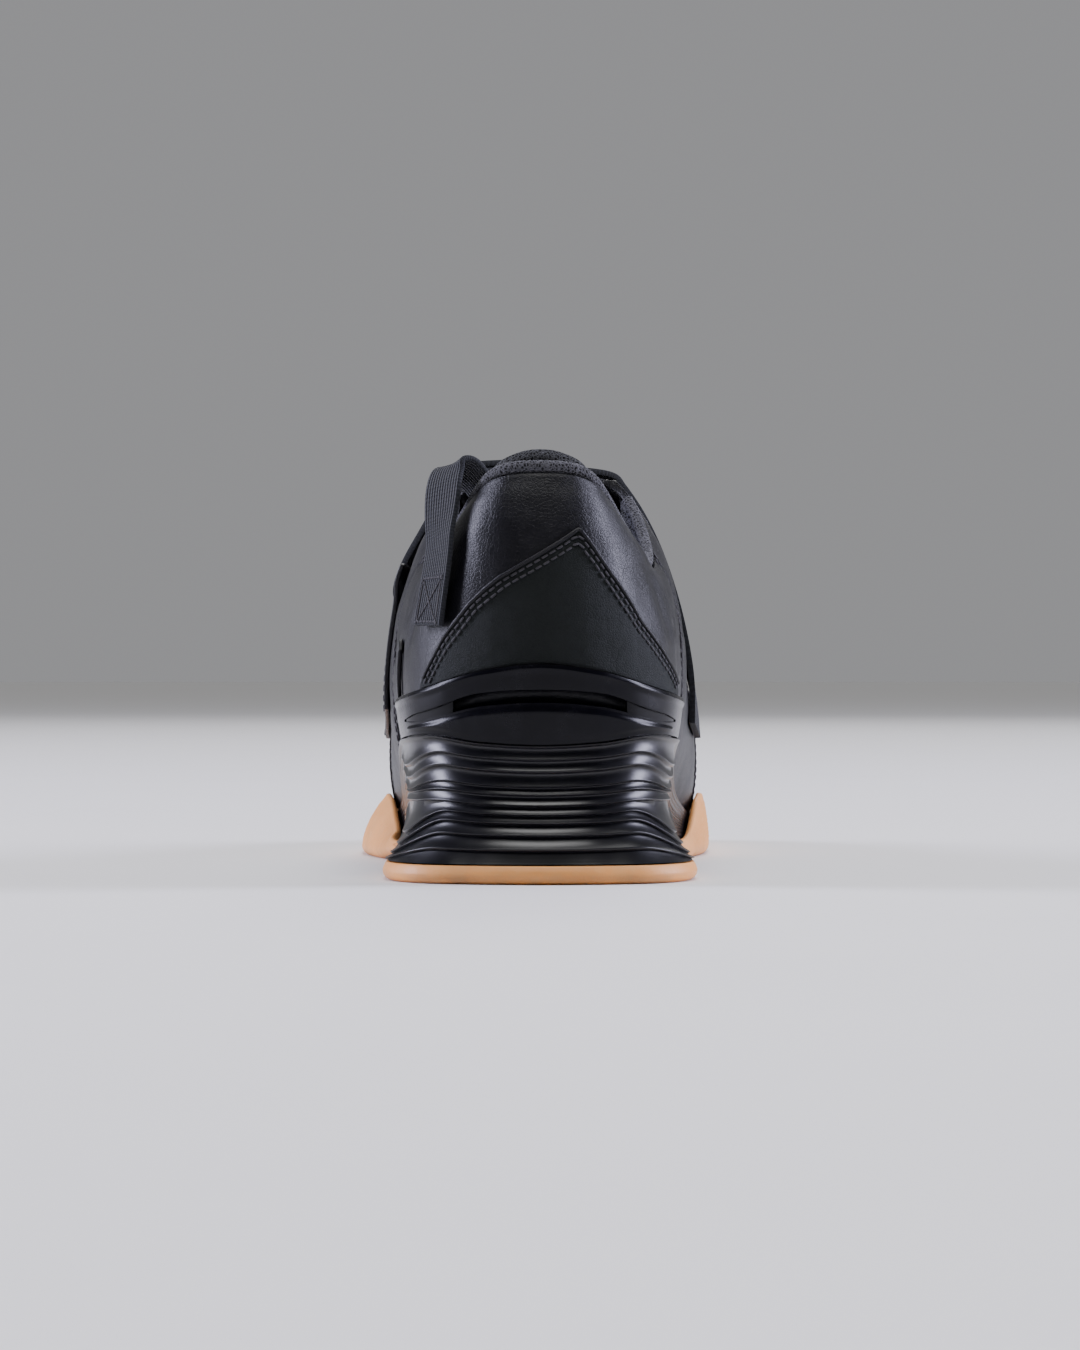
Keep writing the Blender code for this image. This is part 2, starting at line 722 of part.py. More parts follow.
def build_patch():
    """The counter patch, from just above the clip to its pointed top edge."""
    first, last = COUNTERS[0].at, COUNTERS[-1].at
    apex = next(row.at for row in COUNTERS if row.top == 1.0)
    split = PATCH_COLUMNS // 2

    def place(column, row, face):
        if column <= split:
            ring = first + (apex - first) * column / split
        else:
            ring = apex + (last - apex) * (column - split) / (PATCH_COLUMNS - split)
        low = clip_top(ring) + GAP
        high = counter_top(ring)
        rise = rise_at_height(ring, low + (high - low) * row / PATCH_ROWS)
        return facet_point(ring, rise, GAP + face * PATCH_THICK)

    return slab("counter_patch", place, PATCH_COLUMNS, PATCH_ROWS, lambda column, row: False, SUEDE)


def build_eyestay():
    """A U round the throat, from the lateral top eyelet to the medial one."""
    columns = 2 * (STATIONS - STAY_FIRST)

    def place(column, row, face):
        ring = -(STAY_FIRST + column) / STATIONS
        rise = STAY_LOW + (STAY_TOP - STAY_LOW) * row / STAY_ROWS
        return upper_point(ring, rise, GAP + face * STAY_THICK)

    return slab("eyestay", place, columns, STAY_ROWS, lambda column, row: False, LEATHER)


def build_binding():
    path = []
    steps = round(BINDING_END * STATIONS)
    for i in range(-steps, steps + 1):
        ring = i / STATIONS
        top = upper_point(ring, 1, -UPPER_WALL / 2)
        up = (top - upper_point(ring, 1 - 3 * RISE_STEP, -UPPER_WALL / 2)).normalized()
        path.append(top + up * (BINDING_RADIUS + 2 * GAP))
    return tube("collar_binding", path, BINDING_RADIUS, TEXTILE)


def build_loop():
    path = []
    across = []
    for row in LOOPS:
        path.append(
            upper_point(row.ring, row.rise, row.proud * LOOP_WIDTH) + Vector((0, 0, row.lift * LOOP_WIDTH))
        )
        ahead = shell_point(row.ring - RING_STEP, row.rise) - shell_point(row.ring + RING_STEP, row.rise)
        across.append(ahead.normalized() + Vector((0, 0, row.tilt)))
    return band("pull_loop", path, across, LOOP_WIDTH, WEBBING_THICK, WEBBING)


def build_tongue():
    stations = [k / STATIONS for k in range(TONGUE_TOE_END, STAY_FIRST, -1)]
    centre = len(TONGUE_SWEEPS) // 2
    level = len(stations) - 1

    def place(column, row, face):
        proud = -(UPPER_WALL + 3 * GAP) - (1 - face) * TONGUE_THICK
        station = stations[min(row, level)]
        spot = over_point(station, TONGUE_SWEEPS[column], proud, TONGUE_CROWN)
        if row > level:
            lift = TONGUE_LIFTS[row - level]
            side = abs(column - centre) / centre
            middle = over_point(station, TONGUE_SWEEPS[centre], proud, TONGUE_CROWN)
            spot.x += (middle.x - spot.x) * TONGUE_TAPER * lift
            spot += TONGUE_UP * TONGUE_PROUD * lift * (1 - side * side)
        return spot

    rows = level + len(TONGUE_LIFTS) - 1
    return slab("tongue", place, len(TONGUE_SWEEPS) - 1, rows, lambda column, row: False, TEXTILE)


def build_laces():
    proud = STAY_THICK + 2 * GAP + LACE_RADIUS
    for number, station in enumerate(LACE_STATIONS, 1):
        path = [over_point(station, sweep, proud, LACE_CROWN) for sweep in LACE_SWEEPS]
        tube(f"lace_bar_{number}", path, LACE_RADIUS, TEXTILE)


def build_strap():
    grid = [
        [over_point(line, row.sweep, row.proud * STRAP_THICK, STRAP_CROWN) for line in STRAP_LINES]
        for row in STRAPS
    ]
    last = len(grid) - 1

    def place(column, row, face):
        spot = grid[column][row]
        along = grid[min(column + 1, last)][row] - grid[max(column - 1, 0)][row]
        across = grid[column][min(row + 1, 3)] - grid[column][max(row - 1, 0)]
        return spot + along.cross(across).normalized() * STRAP_THICK * (face - 0.5)

    return slab("midfoot_strap", place, last, len(STRAP_LINES) - 1, lambda column, row: False, WEBBING)


def build_tab():
    def place(column, row, face):
        ring = -(TAB_FIRST + column) / STATIONS
        return upper_point(ring, TABS[row].rise, (TABS[row].proud + face) * TAB_THICK)

    def slot(column, row):
        return row == TAB_SLOT_ROW and 0 < column < TAB_COLUMNS - 1

    return slab("strap_tab", place, TAB_COLUMNS, len(TABS) - 1, slot, LEATHER)


for old in list(bpy.data.objects):
    bpy.data.objects.remove(old, do_unlink=True)

SHOE = bpy.data.collections.new("weightlifting_shoe")
bpy.context.scene.collection.children.link(SHOE)

GUM = finish("gum", (0.55, 0.31, 0.15), 0.55)
FOAM = finish("midsole_black", (0.018, 0.018, 0.026), 0.42)
LEATHER = finish("leather", (0.022, 0.021, 0.030), 0.45)
TEXTILE = finish("textile", (0.012, 0.013, 0.015), 0.90)
SUEDE = finish("matte_leather", (0.020, 0.028, 0.027), 0.75)
PLASTIC = finish("clip_plastic", (0.020, 0.020, 0.026), 0.35)
WEBBING = finish("webbing", (0.010, 0.011, 0.016), 0.80)

footprint = outline_ring(lambda ring: outsole_point(ring, outsole_flare(ring), EDGE_REACH))
ORIGIN = Vector((
    (min(p.x for p in footprint) + max(p.x for p in footprint)) / 2,
    (min(p.y for p in footprint) + max(p.y for p in footprint)) / 2,
    0,
))

build_outsole()
build_midsole()
build_upper()
build_insole()
build_clip()
build_patch()
build_eyestay()
build_binding()
build_loop()
build_tongue()
build_laces()
build_strap()
build_tab()
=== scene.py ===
import math
from collections import namedtuple
from functools import cache, partial

import bpy
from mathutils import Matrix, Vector, noise


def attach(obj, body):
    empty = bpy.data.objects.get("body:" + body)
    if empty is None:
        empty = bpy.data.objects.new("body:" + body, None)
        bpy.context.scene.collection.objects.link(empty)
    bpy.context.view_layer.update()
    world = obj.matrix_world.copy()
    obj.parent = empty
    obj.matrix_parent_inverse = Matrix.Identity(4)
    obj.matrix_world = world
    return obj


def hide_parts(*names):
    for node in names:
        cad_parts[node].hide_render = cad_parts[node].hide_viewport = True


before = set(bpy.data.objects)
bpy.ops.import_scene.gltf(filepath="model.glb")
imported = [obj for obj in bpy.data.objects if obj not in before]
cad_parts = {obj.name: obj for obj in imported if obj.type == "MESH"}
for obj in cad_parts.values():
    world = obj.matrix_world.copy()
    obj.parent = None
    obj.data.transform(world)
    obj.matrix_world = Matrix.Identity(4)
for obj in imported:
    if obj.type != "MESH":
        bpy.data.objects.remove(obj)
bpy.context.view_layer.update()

# The shoe's own sizes in metres, the same as its solids have
shoe = {
    "length": 0.290, "heelHalf": 0.0345, "ballHalf": 0.046, "collarHalf": 0.033, "instepHeight": 0.116,
    "heelSeat": 0.030, "ballSeat": 0.010, "toeSpring": 0.006, "archRise": 0.0015, "outsoleThick": 0.0051,
    "wall": 0.0022, "sideFullness": 0.010, "sideRise": 0.025, "browReach": 0.030, "browDrop": 0.020,
    "gap": 0.0004, "cupRim": 0.0100,
    # where the bed falls, the arch lifts, the toe springs and the foot widens
    "fall": (0.20, 0.66), "arch": (0.34, 0.40, 0.46, 0.53), "spring": 0.78, "widening": (0.36, 0.70),
}
gap = shoe["gap"]
stationCount = 34  # stations along each side in the solids
ringStep, riseStep = 0.004, 0.01  # how far to each side a direction is measured
threadProud = 0.0001  # how far thread stands off what it sews

Section = namedtuple("Section", "at footY footHalf footMid edgeY edgeHalf edgeZ edgeMid")
sections = [Section(*row) for row in (
    (0.00, 0.0207, 0.000, 0.000, 0.0276, 0.000, 0.966, 0.000),
    (0.03, 0.0235, 0.235, 0.000, 0.0293, 0.170, 0.965, 0.000),
    (0.06, 0.0317, 0.461, 0.000, 0.0345, 0.325, 0.959, 0.000),
    (0.10, 0.0500, 0.704, 0.000, 0.0483, 0.475, 0.940, 0.000),
    (0.15, 0.0828, 0.905, 0.000, 0.0793, 0.615, 0.895, 0.000),
    (0.21, 0.1310, 0.990, 0.000, 0.1276, 0.775, 0.829, 0.000),
    (0.28, 0.1966, 1.015, -0.005, 0.1862, 0.935, 0.768, 0.000),
    (0.33, 0.2414, 1.020, -0.010, 0.2276, 1.000, 0.758, 0.000),
    (0.39, 0.3000, 1.018, -0.020, 0.2793, 1.000, 0.806, 0.000),
    (0.45, 0.3586, 0.980, -0.022, 0.3310, 0.910, 0.897, 0.000),
    (0.50, 0.4069, 0.945, -0.020, 0.3690, 0.760, 0.970, 0.000),
    (0.54, 0.4483, 0.928, -0.013, 0.3966, 0.595, 1.000, 0.000),
    (0.58, 0.4897, 0.920, 0.000, 0.4241, 0.515, 0.972, 0.004),
    (0.64, 0.5586, 0.946, 0.015, 0.4828, 0.455, 0.897, 0.010),
    (0.70, 0.6345, 0.983, 0.027, 0.5517, 0.395, 0.806, 0.020),
    (0.76, 0.7138, 1.000, 0.040, 0.6207, 0.335, 0.724, 0.030),
    (0.82, 0.8207, 0.945, 0.072, 0.6655, 0.270, 0.671, 0.038),
    (0.88, 0.9069, 0.800, 0.102, 0.6862, 0.190, 0.647, 0.042),
    (0.92, 0.9448, 0.600, 0.122, 0.6950, 0.128, 0.638, 0.043),
    (0.95, 0.9621, 0.420, 0.133, 0.6983, 0.078, 0.633, 0.043),
    (0.975, 0.9710, 0.235, 0.138, 0.7003, 0.037, 0.630, 0.043),
    (1.00, 0.9759, 0.000, 0.140, 0.7010, 0.000, 0.629, 0.043),
)]
Rib = namedtuple("Rib", "at bulge rise brow drop")
ribs = [Rib(*row) for row in (
    (0.00, 0.70, 1.04, 0.27, 1.30),
    (0.10, 0.70, 1.04, 0.33, 1.20),
    (0.21, 0.70, 0.96, 0.42, 0.90),
    (0.33, 0.70, 0.88, 0.28, 0.75),
    (0.45, 1.10, 0.92, 0.50, 1.10),
    (0.54, 1.45, 0.96, 0.84, 1.20),
    (0.64, 1.30, 0.92, 0.86, 0.90),
    (0.76, 0.75, 0.84, 0.96, 0.60),
    (0.88, 0.72, 0.84, 1.20, 0.60),
    (1.00, 0.80, 0.98, 1.53, 0.75),
)]
Sole = namedtuple("Sole", "at rim top waist foot heel rear wing wingLateral wingMedial ribs")
soles = [Sole(*row) for row in (
    (0.00, 0.71, 0.75, 0.75, 0.50, 0.00, 1.00, 0.00, 0.00, 0.00, 1.0),
    (0.06, 0.80, 0.85, 0.85, 0.64, 0.30, 0.66, 0.00, 0.00, 0.00, 1.0),
    (0.11, 0.98, 1.00, 1.00, 0.96, 0.95, 0.10, 0.00, 0.00, 0.00, 1.0),
    (0.17, 0.90, 1.00, 1.00, 1.00, 1.00, 0.00, 0.00, 0.00, 0.00, 1.0),
    (0.28, 0.75, 1.05, 1.20, 0.62, 0.72, 0.00, 0.00, 0.00, 0.00, 0.9),
    (0.38, 0.60, 1.15, 1.60, 0.36, 0.46, 0.00, 0.00, 0.00, 0.00, 0.7),
    (0.48, 0.42, 1.10, 1.80, 0.35, 0.30, 0.00, 0.20, 0.00, 0.00, 0.5),
    (0.56, 0.28, 0.80, 1.30, 0.30, 0.15, 0.00, 0.50, 0.03, 0.00, 0.3),
    (0.62, 0.18, 0.62, 1.20, 0.28, 0.00, 0.00, 0.85, 0.65, 0.20, 0.1),
    (0.67, 0.15, 0.58, 1.20, 0.28, 0.00, 0.00, 1.00, 1.00, 0.88, 0.0),
    (0.72, 0.15, 0.58, 1.20, 0.28, 0.00, 0.00, 1.00, 0.92, 1.00, 0.0),
    (0.80, 0.15, 0.58, 1.20, 0.28, 0.00, 0.00, 0.85, 0.62, 0.70, 0.0),
    (0.90, 0.15, 0.58, 1.20, 0.28, 0.00, 0.00, 0.62, 0.52, 0.52, 0.0),
    (1.00, 0.15, 0.58, 1.20, 0.28, 0.00, 0.00, 0.50, 0.66, 0.66, 0.0),
)]


def smoothStep(low, high, value):
    share = min(1.0, max(0.0, (value - low) / (high - low)))
    return share * share * (3 - 2 * share)


def between(start, full, fall, end, value):  # 0 outside, and 1 from full to fall
    return smoothStep(start, full, value) * (1 - smoothStep(fall, end, value))


def read(table, column, at):  # a column of a table, as a smooth curve between its rows
    at = min(max(at, table[0].at), table[-1].at)
    last = len(table) - 1
    low = max(i for i in range(last) if table[i].at <= at)

    def slope(i):
        if i in (0, last) and not column.endswith("Half"):
            return 0.0
        before, after = table[max(i - 1, 0)], table[min(i + 1, last)]
        return (getattr(after, column) - getattr(before, column)) / (after.at - before.at)

    span = table[low + 1].at - table[low].at
    t = (at - table[low].at) / span
    start, end = getattr(table[low], column), getattr(table[low + 1], column)
    return (
        start * (1 + 2 * t) * (1 - t) ** 2
        + slope(low) * span * t * (1 - t) ** 2
        + end * t * t * (3 - 2 * t)
        - slope(low + 1) * span * t * t * (1 - t)
    )


def wrap(ring):  # -1 toe, by the lateral side, 0 heel, by the medial side, 1 toe
    if ring > 1:
        ring -= 2
    if ring < -1:
        ring += 2
    return (-1 if ring < 0 else 1), abs(ring)


def toeSpring(y):
    return shoe["toeSpring"] * max(0.0, (y / shoe["length"] - shoe["spring"]) / (1 - shoe["spring"])) ** 2


def bedHeight(y):
    drop = (shoe["ballSeat"] - shoe["heelSeat"]) * smoothStep(*shoe["fall"], y / shoe["length"])
    return shoe["heelSeat"] + drop + toeSpring(y)


def groundHeight(y):
    return shoe["archRise"] * between(*shoe["arch"], y / shoe["length"]) + toeSpring(y)


@cache
def footPoint(ring):  # where the upper's outer face meets the bed
    side, station = wrap(ring)
    y = read(sections, "footY", station) * shoe["length"]
    width = shoe["heelHalf"] + (shoe["ballHalf"] - shoe["heelHalf"]) * smoothStep(*shoe["widening"], station)
    half = read(sections, "footHalf", station) * width
    middle = read(sections, "footMid", station) * shoe["ballHalf"]
    return Vector((middle + side * half, y, bedHeight(y) + gap))


@cache
def footNormal(ring):
    along = footPoint(ring + ringStep) - footPoint(ring - ringStep)
    return Vector((along.y, -along.x, 0)).normalized()


@cache
def ribHandles(ring):  # the four handles of the curve up the side
    side, station = wrap(ring)
    out = footNormal(ring)
    foot = footPoint(ring)
    edge = Vector((
        read(sections, "edgeMid", station) * shoe["ballHalf"]
        + side * read(sections, "edgeHalf", station) * shoe["collarHalf"],
        read(sections, "edgeY", station) * shoe["length"],
        read(sections, "edgeZ", station) * shoe["instepHeight"],
    ))
    low = foot + out * read(ribs, "bulge", station) * shoe["sideFullness"]
    low.z += read(ribs, "rise", station) * shoe["sideRise"]
    high = edge + out * read(ribs, "brow", station) * shoe["browReach"]
    high.z -= read(ribs, "drop", station) * shoe["browDrop"]
    return foot, low, high, edge


@cache
def shellPoint(ring, rise):  # the upper's outer face: rise 0 on the foot line, 1 on the edge
    foot, low, high, edge = ribHandles(ring)
    left = 1 - rise
    return foot * left**3 + low * 3 * left * left * rise + high * 3 * left * rise * rise + edge * rise**3


@cache
def shellNormal(ring, rise):
    up = shellPoint(ring, min(1.0, rise + riseStep)) - shellPoint(ring, max(0.0, rise - riseStep))
    along = shellPoint(ring + ringStep, rise) - shellPoint(ring - ringStep, rise)
    return along.cross(up).normalized()


def upperPoint(ring, rise, proud=0.0):
    return shellPoint(ring, rise) + shellNormal(ring, rise) * proud


@cache
def riseAt(ring, z):  # the rise at which the upper's outer face reaches a height
    low, high = 0.0, 1.0
    for _ in range(20):
        middle = (low + high) / 2
        if shellPoint(ring, middle).z < z:
            low = middle
        else:
            high = middle
    return (low + high) / 2


def overPoint(station, sweep, proud, crown):  # sweep 0-1 lateral side, 1-2 over the throat, 2-3 medial side
    if sweep <= 1:
        return upperPoint(-station, sweep, proud)
    if sweep >= 2:
        return upperPoint(station, 3 - sweep, proud)
    share = sweep - 1
    middle = upperPoint(-station, 1, proud).lerp(upperPoint(station, 1, proud), share)
    return middle + Vector((0, 0, crown * 4 * share * (1 - share)))


heel = {
    "flare": 0.0110, "rearFlare": 0.0068, "wingLateral": 0.0127, "wingMedial": 0.0072,
    "wingHeight": 0.0140, "wingTop": 0.0018, "edgeRound": 0.0016,
    "blockTop": 0.0043, "blockWaist": 0.0018, "blockFoot": 0.0103, "topCurve": 1.6,
    "ribDepth": 0.0011,
    "crests": (0.13, 0.25, 0.35, 0.42, 0.50, 0.59, 0.66, 0.79, 0.89, 1.0),
}


@cache
def soleFlare(ring):
    side, station = wrap(ring)
    wing = heel["wingLateral"] if side < 0 else heel["wingMedial"]
    return (
        read(soles, "heel", station) * heel["flare"]
        + read(soles, "rear", station) * heel["rearFlare"]
        + read(soles, "wing", station) * wing
    )


@cache
def cupHeight(ring):
    return footPoint(ring).z + read(soles, "rim", wrap(ring)[1]) * shoe["cupRim"]


@cache
def wingHeight(ring):
    side, station = wrap(ring)
    column = "wingLateral" if side < 0 else "wingMedial"
    return max(0.0, read(soles, column, station)) * heel["wingHeight"]


def atHeight(ring, z, proud=gap):  # a place on the upper by its height
    return upperPoint(ring, riseAt(ring, z), proud)


def blockOut(ring, share, rib):  # how far the midsole's side stands out of the foot line
    station = wrap(ring)[1]
    top = read(soles, "top", station) * heel["blockTop"]
    waist = read(soles, "waist", station) * heel["blockWaist"]
    foot = read(soles, "foot", station) * heel["blockFoot"]
    if share > 0.5:
        out = waist + (top - waist) * (2 * share - 1) ** heel["topCurve"]
    else:
        out = waist + (foot - waist) * (1 - 2 * share) ** 2
    return out + rib * heel["ribDepth"] / 2 * read(soles, "ribs", station)


def solePoint(ring, out, z):
    low = footPoint(ring)
    spot = low + footNormal(ring) * out
    spot.z = groundHeight(low.y) + z
    return spot


@cache
def innerWallOut(ring, z):
    low = footPoint(ring)
    wall = atHeight(ring, max(z, low.z))
    widest = max(blockOut(ring, share, 1) for share in (0.0, 0.5, *heel["crests"]))
    return max((wall - low).dot(footNormal(ring)), widest) + gap


footRings = [i / stationCount for i in range(-stationCount, stationCount)]
footprint = [solePoint(ring, soleFlare(ring), 0).xy for ring in footRings]
origin = Vector([(min(places) + max(places)) / 2 for places in zip(*footprint)] + [0])


class Wire:  # a socket that takes part in sums
    def __init__(self, finish, socket):
        self.finish, self.socket = finish, socket

    def maths(self, operation, first, second):
        return self.finish.node("ShaderNodeMath", {"operation": operation}, {0: first, 1: second})

    def __add__(self, other):
        return self.maths("ADD", self, other)

    def __rsub__(self, other):
        return self.maths("SUBTRACT", other, self)

    def __mul__(self, other):
        return self.maths("MULTIPLY", self, other)


class Finish:  # one material on its Principled shader
    def __init__(self, name, values):
        self.material = bpy.data.materials.new(name)
        self.material.use_nodes = True
        self.tree = self.material.node_tree
        self.shader = self.tree.nodes["Principled BSDF"]
        for socket, value in values.items():
            self.shader.inputs[socket].default_value = value

    def node(self, kind, settings=None, values=None, output=0):
        made = self.tree.nodes.new(kind)
        for name, value in (settings or {}).items():
            if name == "stops":
                for stop, (place, shade) in zip(made.color_ramp.elements, value):
                    stop.position = place
                    stop.color = (shade, shade, shade, 1)
            else:
                setattr(made, name, value)
        for name, value in (values or {}).items():
            if isinstance(value, Wire):
                self.tree.links.new(value.socket, made.inputs[name])
            else:
                made.inputs[name].default_value = value
        return Wire(self, made.outputs[output])

    def place(self):
        return self.node("ShaderNodeTexCoord", output="Object")

    def flat(self):
        return self.node("ShaderNodeTexCoord", output="UV")

    def axis(self, vector, letter):
        return self.node("ShaderNodeSeparateXYZ", {}, {0: vector}, output=letter)

    def cloud(self, vector, scale, detail=3.0, rough=0.5):
        values = {"Vector": vector, "Scale": scale, "Detail": detail, "Roughness": rough}
        return self.node("ShaderNodeTexNoise", {}, values)

    def cells(self, vector, scale):
        settings = {"feature": "DISTANCE_TO_EDGE"}
        return self.node("ShaderNodeTexVoronoi", settings, {"Vector": vector, "Scale": scale})

    def ramp(self, value, low, high, dark=0.0, bright=1.0):
        return self.node("ShaderNodeValToRGB", {"stops": ((low, dark), (high, bright))}, {0: value})

    def blend(self, share, first, second):
        shades = [shade if isinstance(shade, Wire) else (*shade, 1) for shade in (first, second)]
        values = {0: share, 6: shades[0], 7: shades[1]}
        return self.node("ShaderNodeMix", {"data_type": "RGBA"}, values, output=2)

    def waves(self, value, count):  # a smooth 0-1 wave, count times along a value
        turn = self.node("ShaderNodeMath", {"operation": "SINE"}, {0: value * (count * 2 * math.pi)})
        return turn * 0.5 + 0.5

    def send(self, color=None, roughness=None, bumps=(), coat=None):
        for socket, value in (("Base Color", color), ("Roughness", roughness), ("Coat Weight", coat)):
            if value is not None:
                self.tree.links.new(value.socket, self.shader.inputs[socket])
        normal = None
        for height, depth in bumps:  # depth in metres
            values = {"Height": height, "Strength": 1.0, "Distance": depth}
            if normal:
                values["Normal"] = normal
            normal = self.node("ShaderNodeBump", {}, values)
        if normal:
            self.tree.links.new(normal.socket, self.shader.inputs["Normal"])
        return self.material


def setMode(mode):
    bpy.ops.object.mode_set(mode=mode)


def startClean():
    if bpy.context.mode != "OBJECT":
        setMode("OBJECT")
    bpy.ops.object.select_all(action="DESELECT")


def takeUp(thing):
    startClean()
    thing.select_set(True)
    bpy.context.view_layer.objects.active = thing


def applyAll(thing):
    takeUp(thing)
    for modifier in list(thing.modifiers):
        bpy.ops.object.modifier_apply(modifier=modifier.name)


def gridPiece(name, columns, rows, place):  # a grid laid on place(u, v), u and v from 0 to 1
    startClean()
    bpy.ops.mesh.primitive_grid_add(x_subdivisions=columns, y_subdivisions=rows, size=1)
    thing = bpy.context.object
    thing.name = thing.data.name = name
    for vertex in thing.data.vertices:
        u = round((vertex.co.x + 0.5) * columns) / columns
        v = round((vertex.co.y + 0.5) * rows) / rows
        vertex.co = place(u, v) - origin
    return thing


def sewUp(thing, closed=True):  # joins the seam and the poles, and turns a closed piece's faces out
    takeUp(thing)
    setMode("EDIT")
    bpy.ops.mesh.select_all(action="SELECT")
    bpy.ops.mesh.remove_doubles(threshold=0.00001)
    bpy.ops.mesh.dissolve_degenerate(threshold=0.000001)
    if closed:
        bpy.ops.mesh.normals_make_consistent(inside=False)
    setMode("OBJECT")
    return thing


def thicken(thing, thick, offset, edge=0.0, segments=2, even=True):
    wall = thing.modifiers.new("wall", "SOLIDIFY")
    wall.thickness, wall.offset, wall.use_even_offset = thick, offset, even
    if edge:
        bevel = thing.modifiers.new("edge", "BEVEL")
        bevel.width, bevel.segments, bevel.limit_method = edge, segments, "ANGLE"
        bevel.angle_limit = math.radians(50)
    applyAll(thing)
    return thing


def cutFaces(thing, test):  # removes the faces whose number passes the test
    takeUp(thing)
    setMode("EDIT")
    bpy.ops.mesh.select_all(action="DESELECT")
    bpy.ops.mesh.select_mode(type="FACE")
    setMode("OBJECT")
    for face in thing.data.polygons:
        face.select = test(face.index)
    setMode("EDIT")
    bpy.ops.mesh.delete(type="FACE")
    bpy.ops.mesh.select_mode(type="VERT")
    setMode("OBJECT")


def joinInto(name, things):
    startClean()
    for thing in things:
        thing.select_set(True)
    bpy.context.view_layer.objects.active = things[0]
    bpy.ops.object.join()
    things[0].name = things[0].data.name = name
    return things[0]


def dress(thing, material, replaced=(), angle=40):
    thing.data.materials.clear()
    thing.data.materials.append(material)
    takeUp(thing)
    bpy.ops.object.shade_smooth_by_angle(angle=math.radians(angle))
    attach(thing, "root")
    if replaced:
        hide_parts(*replaced)
    return thing


def heading(rows, i):  # the way along a list of places, or of (place, normal) pairs
    before, after = rows[max(i - 1, 0)], rows[min(i + 1, len(rows) - 1)]
    return after[0] - before[0] if isinstance(after, tuple) else after - before


def cordPiece(name, path, sizeAt, around, ups):  # closed at both ends; sizeAt(u) is half width, half height
    steps = len(path) - 1
    frames = []
    for i, (point, up) in enumerate(zip(path, ups)):
        ahead = heading(path, i).normalized()
        up = (up - ahead * up.dot(ahead)).normalized()
        frames.append((point, ahead.cross(up), up))

    def place(u, v):
        i = round(u * (steps + 2)) - 1
        point, side, top = frames[min(max(i, 0), steps)]
        if not 0 <= i <= steps:
            return point
        wide, high = sizeAt(i / steps)
        turn = -2 * math.pi * v
        return point + side * math.cos(turn) * wide + top * math.sin(turn) * high

    return sewUp(gridPiece(name, steps + 2, around, place))


def evenPath(points, step):  # points laid evenly along a chain of (place, normal) pairs
    spaced = [points[0]]
    left = step
    for (start, startUp), (end, endUp) in zip(points, points[1:]):
        length = (end - start).length
        done = 0.0
        while length - done >= left:
            done += left
            share = done / length
            spaced.append((start.lerp(end, share), startUp.lerp(endUp, share).normalized()))
            left = step
        left -= length - done
    return spaced


def copyTo(thing, name, frames):  # copies of one mesh at each place, with the three axes given there
    corners = [vertex.co.copy() for vertex in thing.data.vertices]
    faces = [tuple(face.vertices) for face in thing.data.polygons]
    points, sides = [], []
    for spot, *axes in frames:
        base = len(points)
        for corner in corners:
            points.append(spot - origin + axes[0] * corner.x + axes[1] * corner.y + axes[2] * corner.z)
        sides += [tuple(base + i for i in face) for face in faces]
    thing.data.clear_geometry()
    thing.data.from_pydata(points, [], sides)
    thing.name = thing.data.name = name
    return sewUp(thing)


stitch = {"length": 0.0020, "width": 0.00080, "height": 0.00065, "pitch": 0.0031, "bevel": 0.16}


def stitchRows(name, rows, slot, pitch=stitch["pitch"], scale=1.0):  # one stitch is modelled, and copied
    startClean()
    bpy.ops.mesh.primitive_cylinder_add(vertices=6, radius=0.5, depth=1, rotation=(0, math.pi / 2, 0))
    first = bpy.context.object
    setMode("EDIT")
    bpy.ops.mesh.select_all(action="SELECT")
    bpy.ops.mesh.bevel(offset=stitch["bevel"], segments=1, affect="EDGES")
    setMode("OBJECT")
    bpy.ops.object.transform_apply(location=True, rotation=True, scale=True)
    long, wide, high = (stitch[size] * scale for size in ("length", "width", "height"))
    frames = []
    for row in rows:
        spots = evenPath(row, pitch * scale)
        for i, (spot, up) in enumerate(spots):
            ahead = heading(spots, i)
            if ahead.length == 0:
                continue
            ahead = (ahead - up * ahead.dot(up)).normalized()
            frames.append((spot, ahead * long, up.cross(ahead) * wide, up * high))
    return dress(copyTo(first, name, frames), finishes["thread"])


print("camera, lights and floor")
studio = {
    "distance": 1.020, "height": 0.057, "lens": 100.37, "sensor": 36, "nearest": 0.05,
    # name, place, target, size, power and colour
    "lights": (
        ("topLight", (0.0, -1.10, 2.5), (0, -0.10, 0.06), (1.6, 0.8), 42, (1, 1, 1)),
        ("leftLight", (-2.75, 0.35, 1.1), (0, -0.08, 0.06), (0.9, 2.0), 150, (0.78, 0.78, 1.0)),
        ("rightLight", (2.75, 0.35, 1.1), (0, -0.08, 0.06), (0.9, 2.0), 150, (0.78, 0.78, 1.0)),
        ("toeLight", (0.4, 3.0, 2.0), (0, 0.05, 0.04), (1.6, 1.0), 28, (1, 1, 1)),
    ),
    "sun": 1.1, "sunPlace": (0.4, -0.6, 1.5), "sunTurn": (-12, 8, 0), "sunSpread": 30,
    "near": (0.012, 0.0125, 0.017), "far": (0.30, 0.30, 0.31), "fade": (0.25, 0.85),
    "floor": (0.74, 0.73, 0.72), "floorRadius": 30, "mottle": 0.96,
}
startClean()
bpy.ops.object.camera_add(
    location=(-origin.x, -origin.y - studio["distance"], studio["height"]), rotation=(math.pi / 2, 0, 0))
camera = bpy.context.object
camera.data.lens, camera.data.sensor_width = studio["lens"], studio["sensor"]
camera.data.clip_start = studio["nearest"]
bpy.context.scene.camera = camera

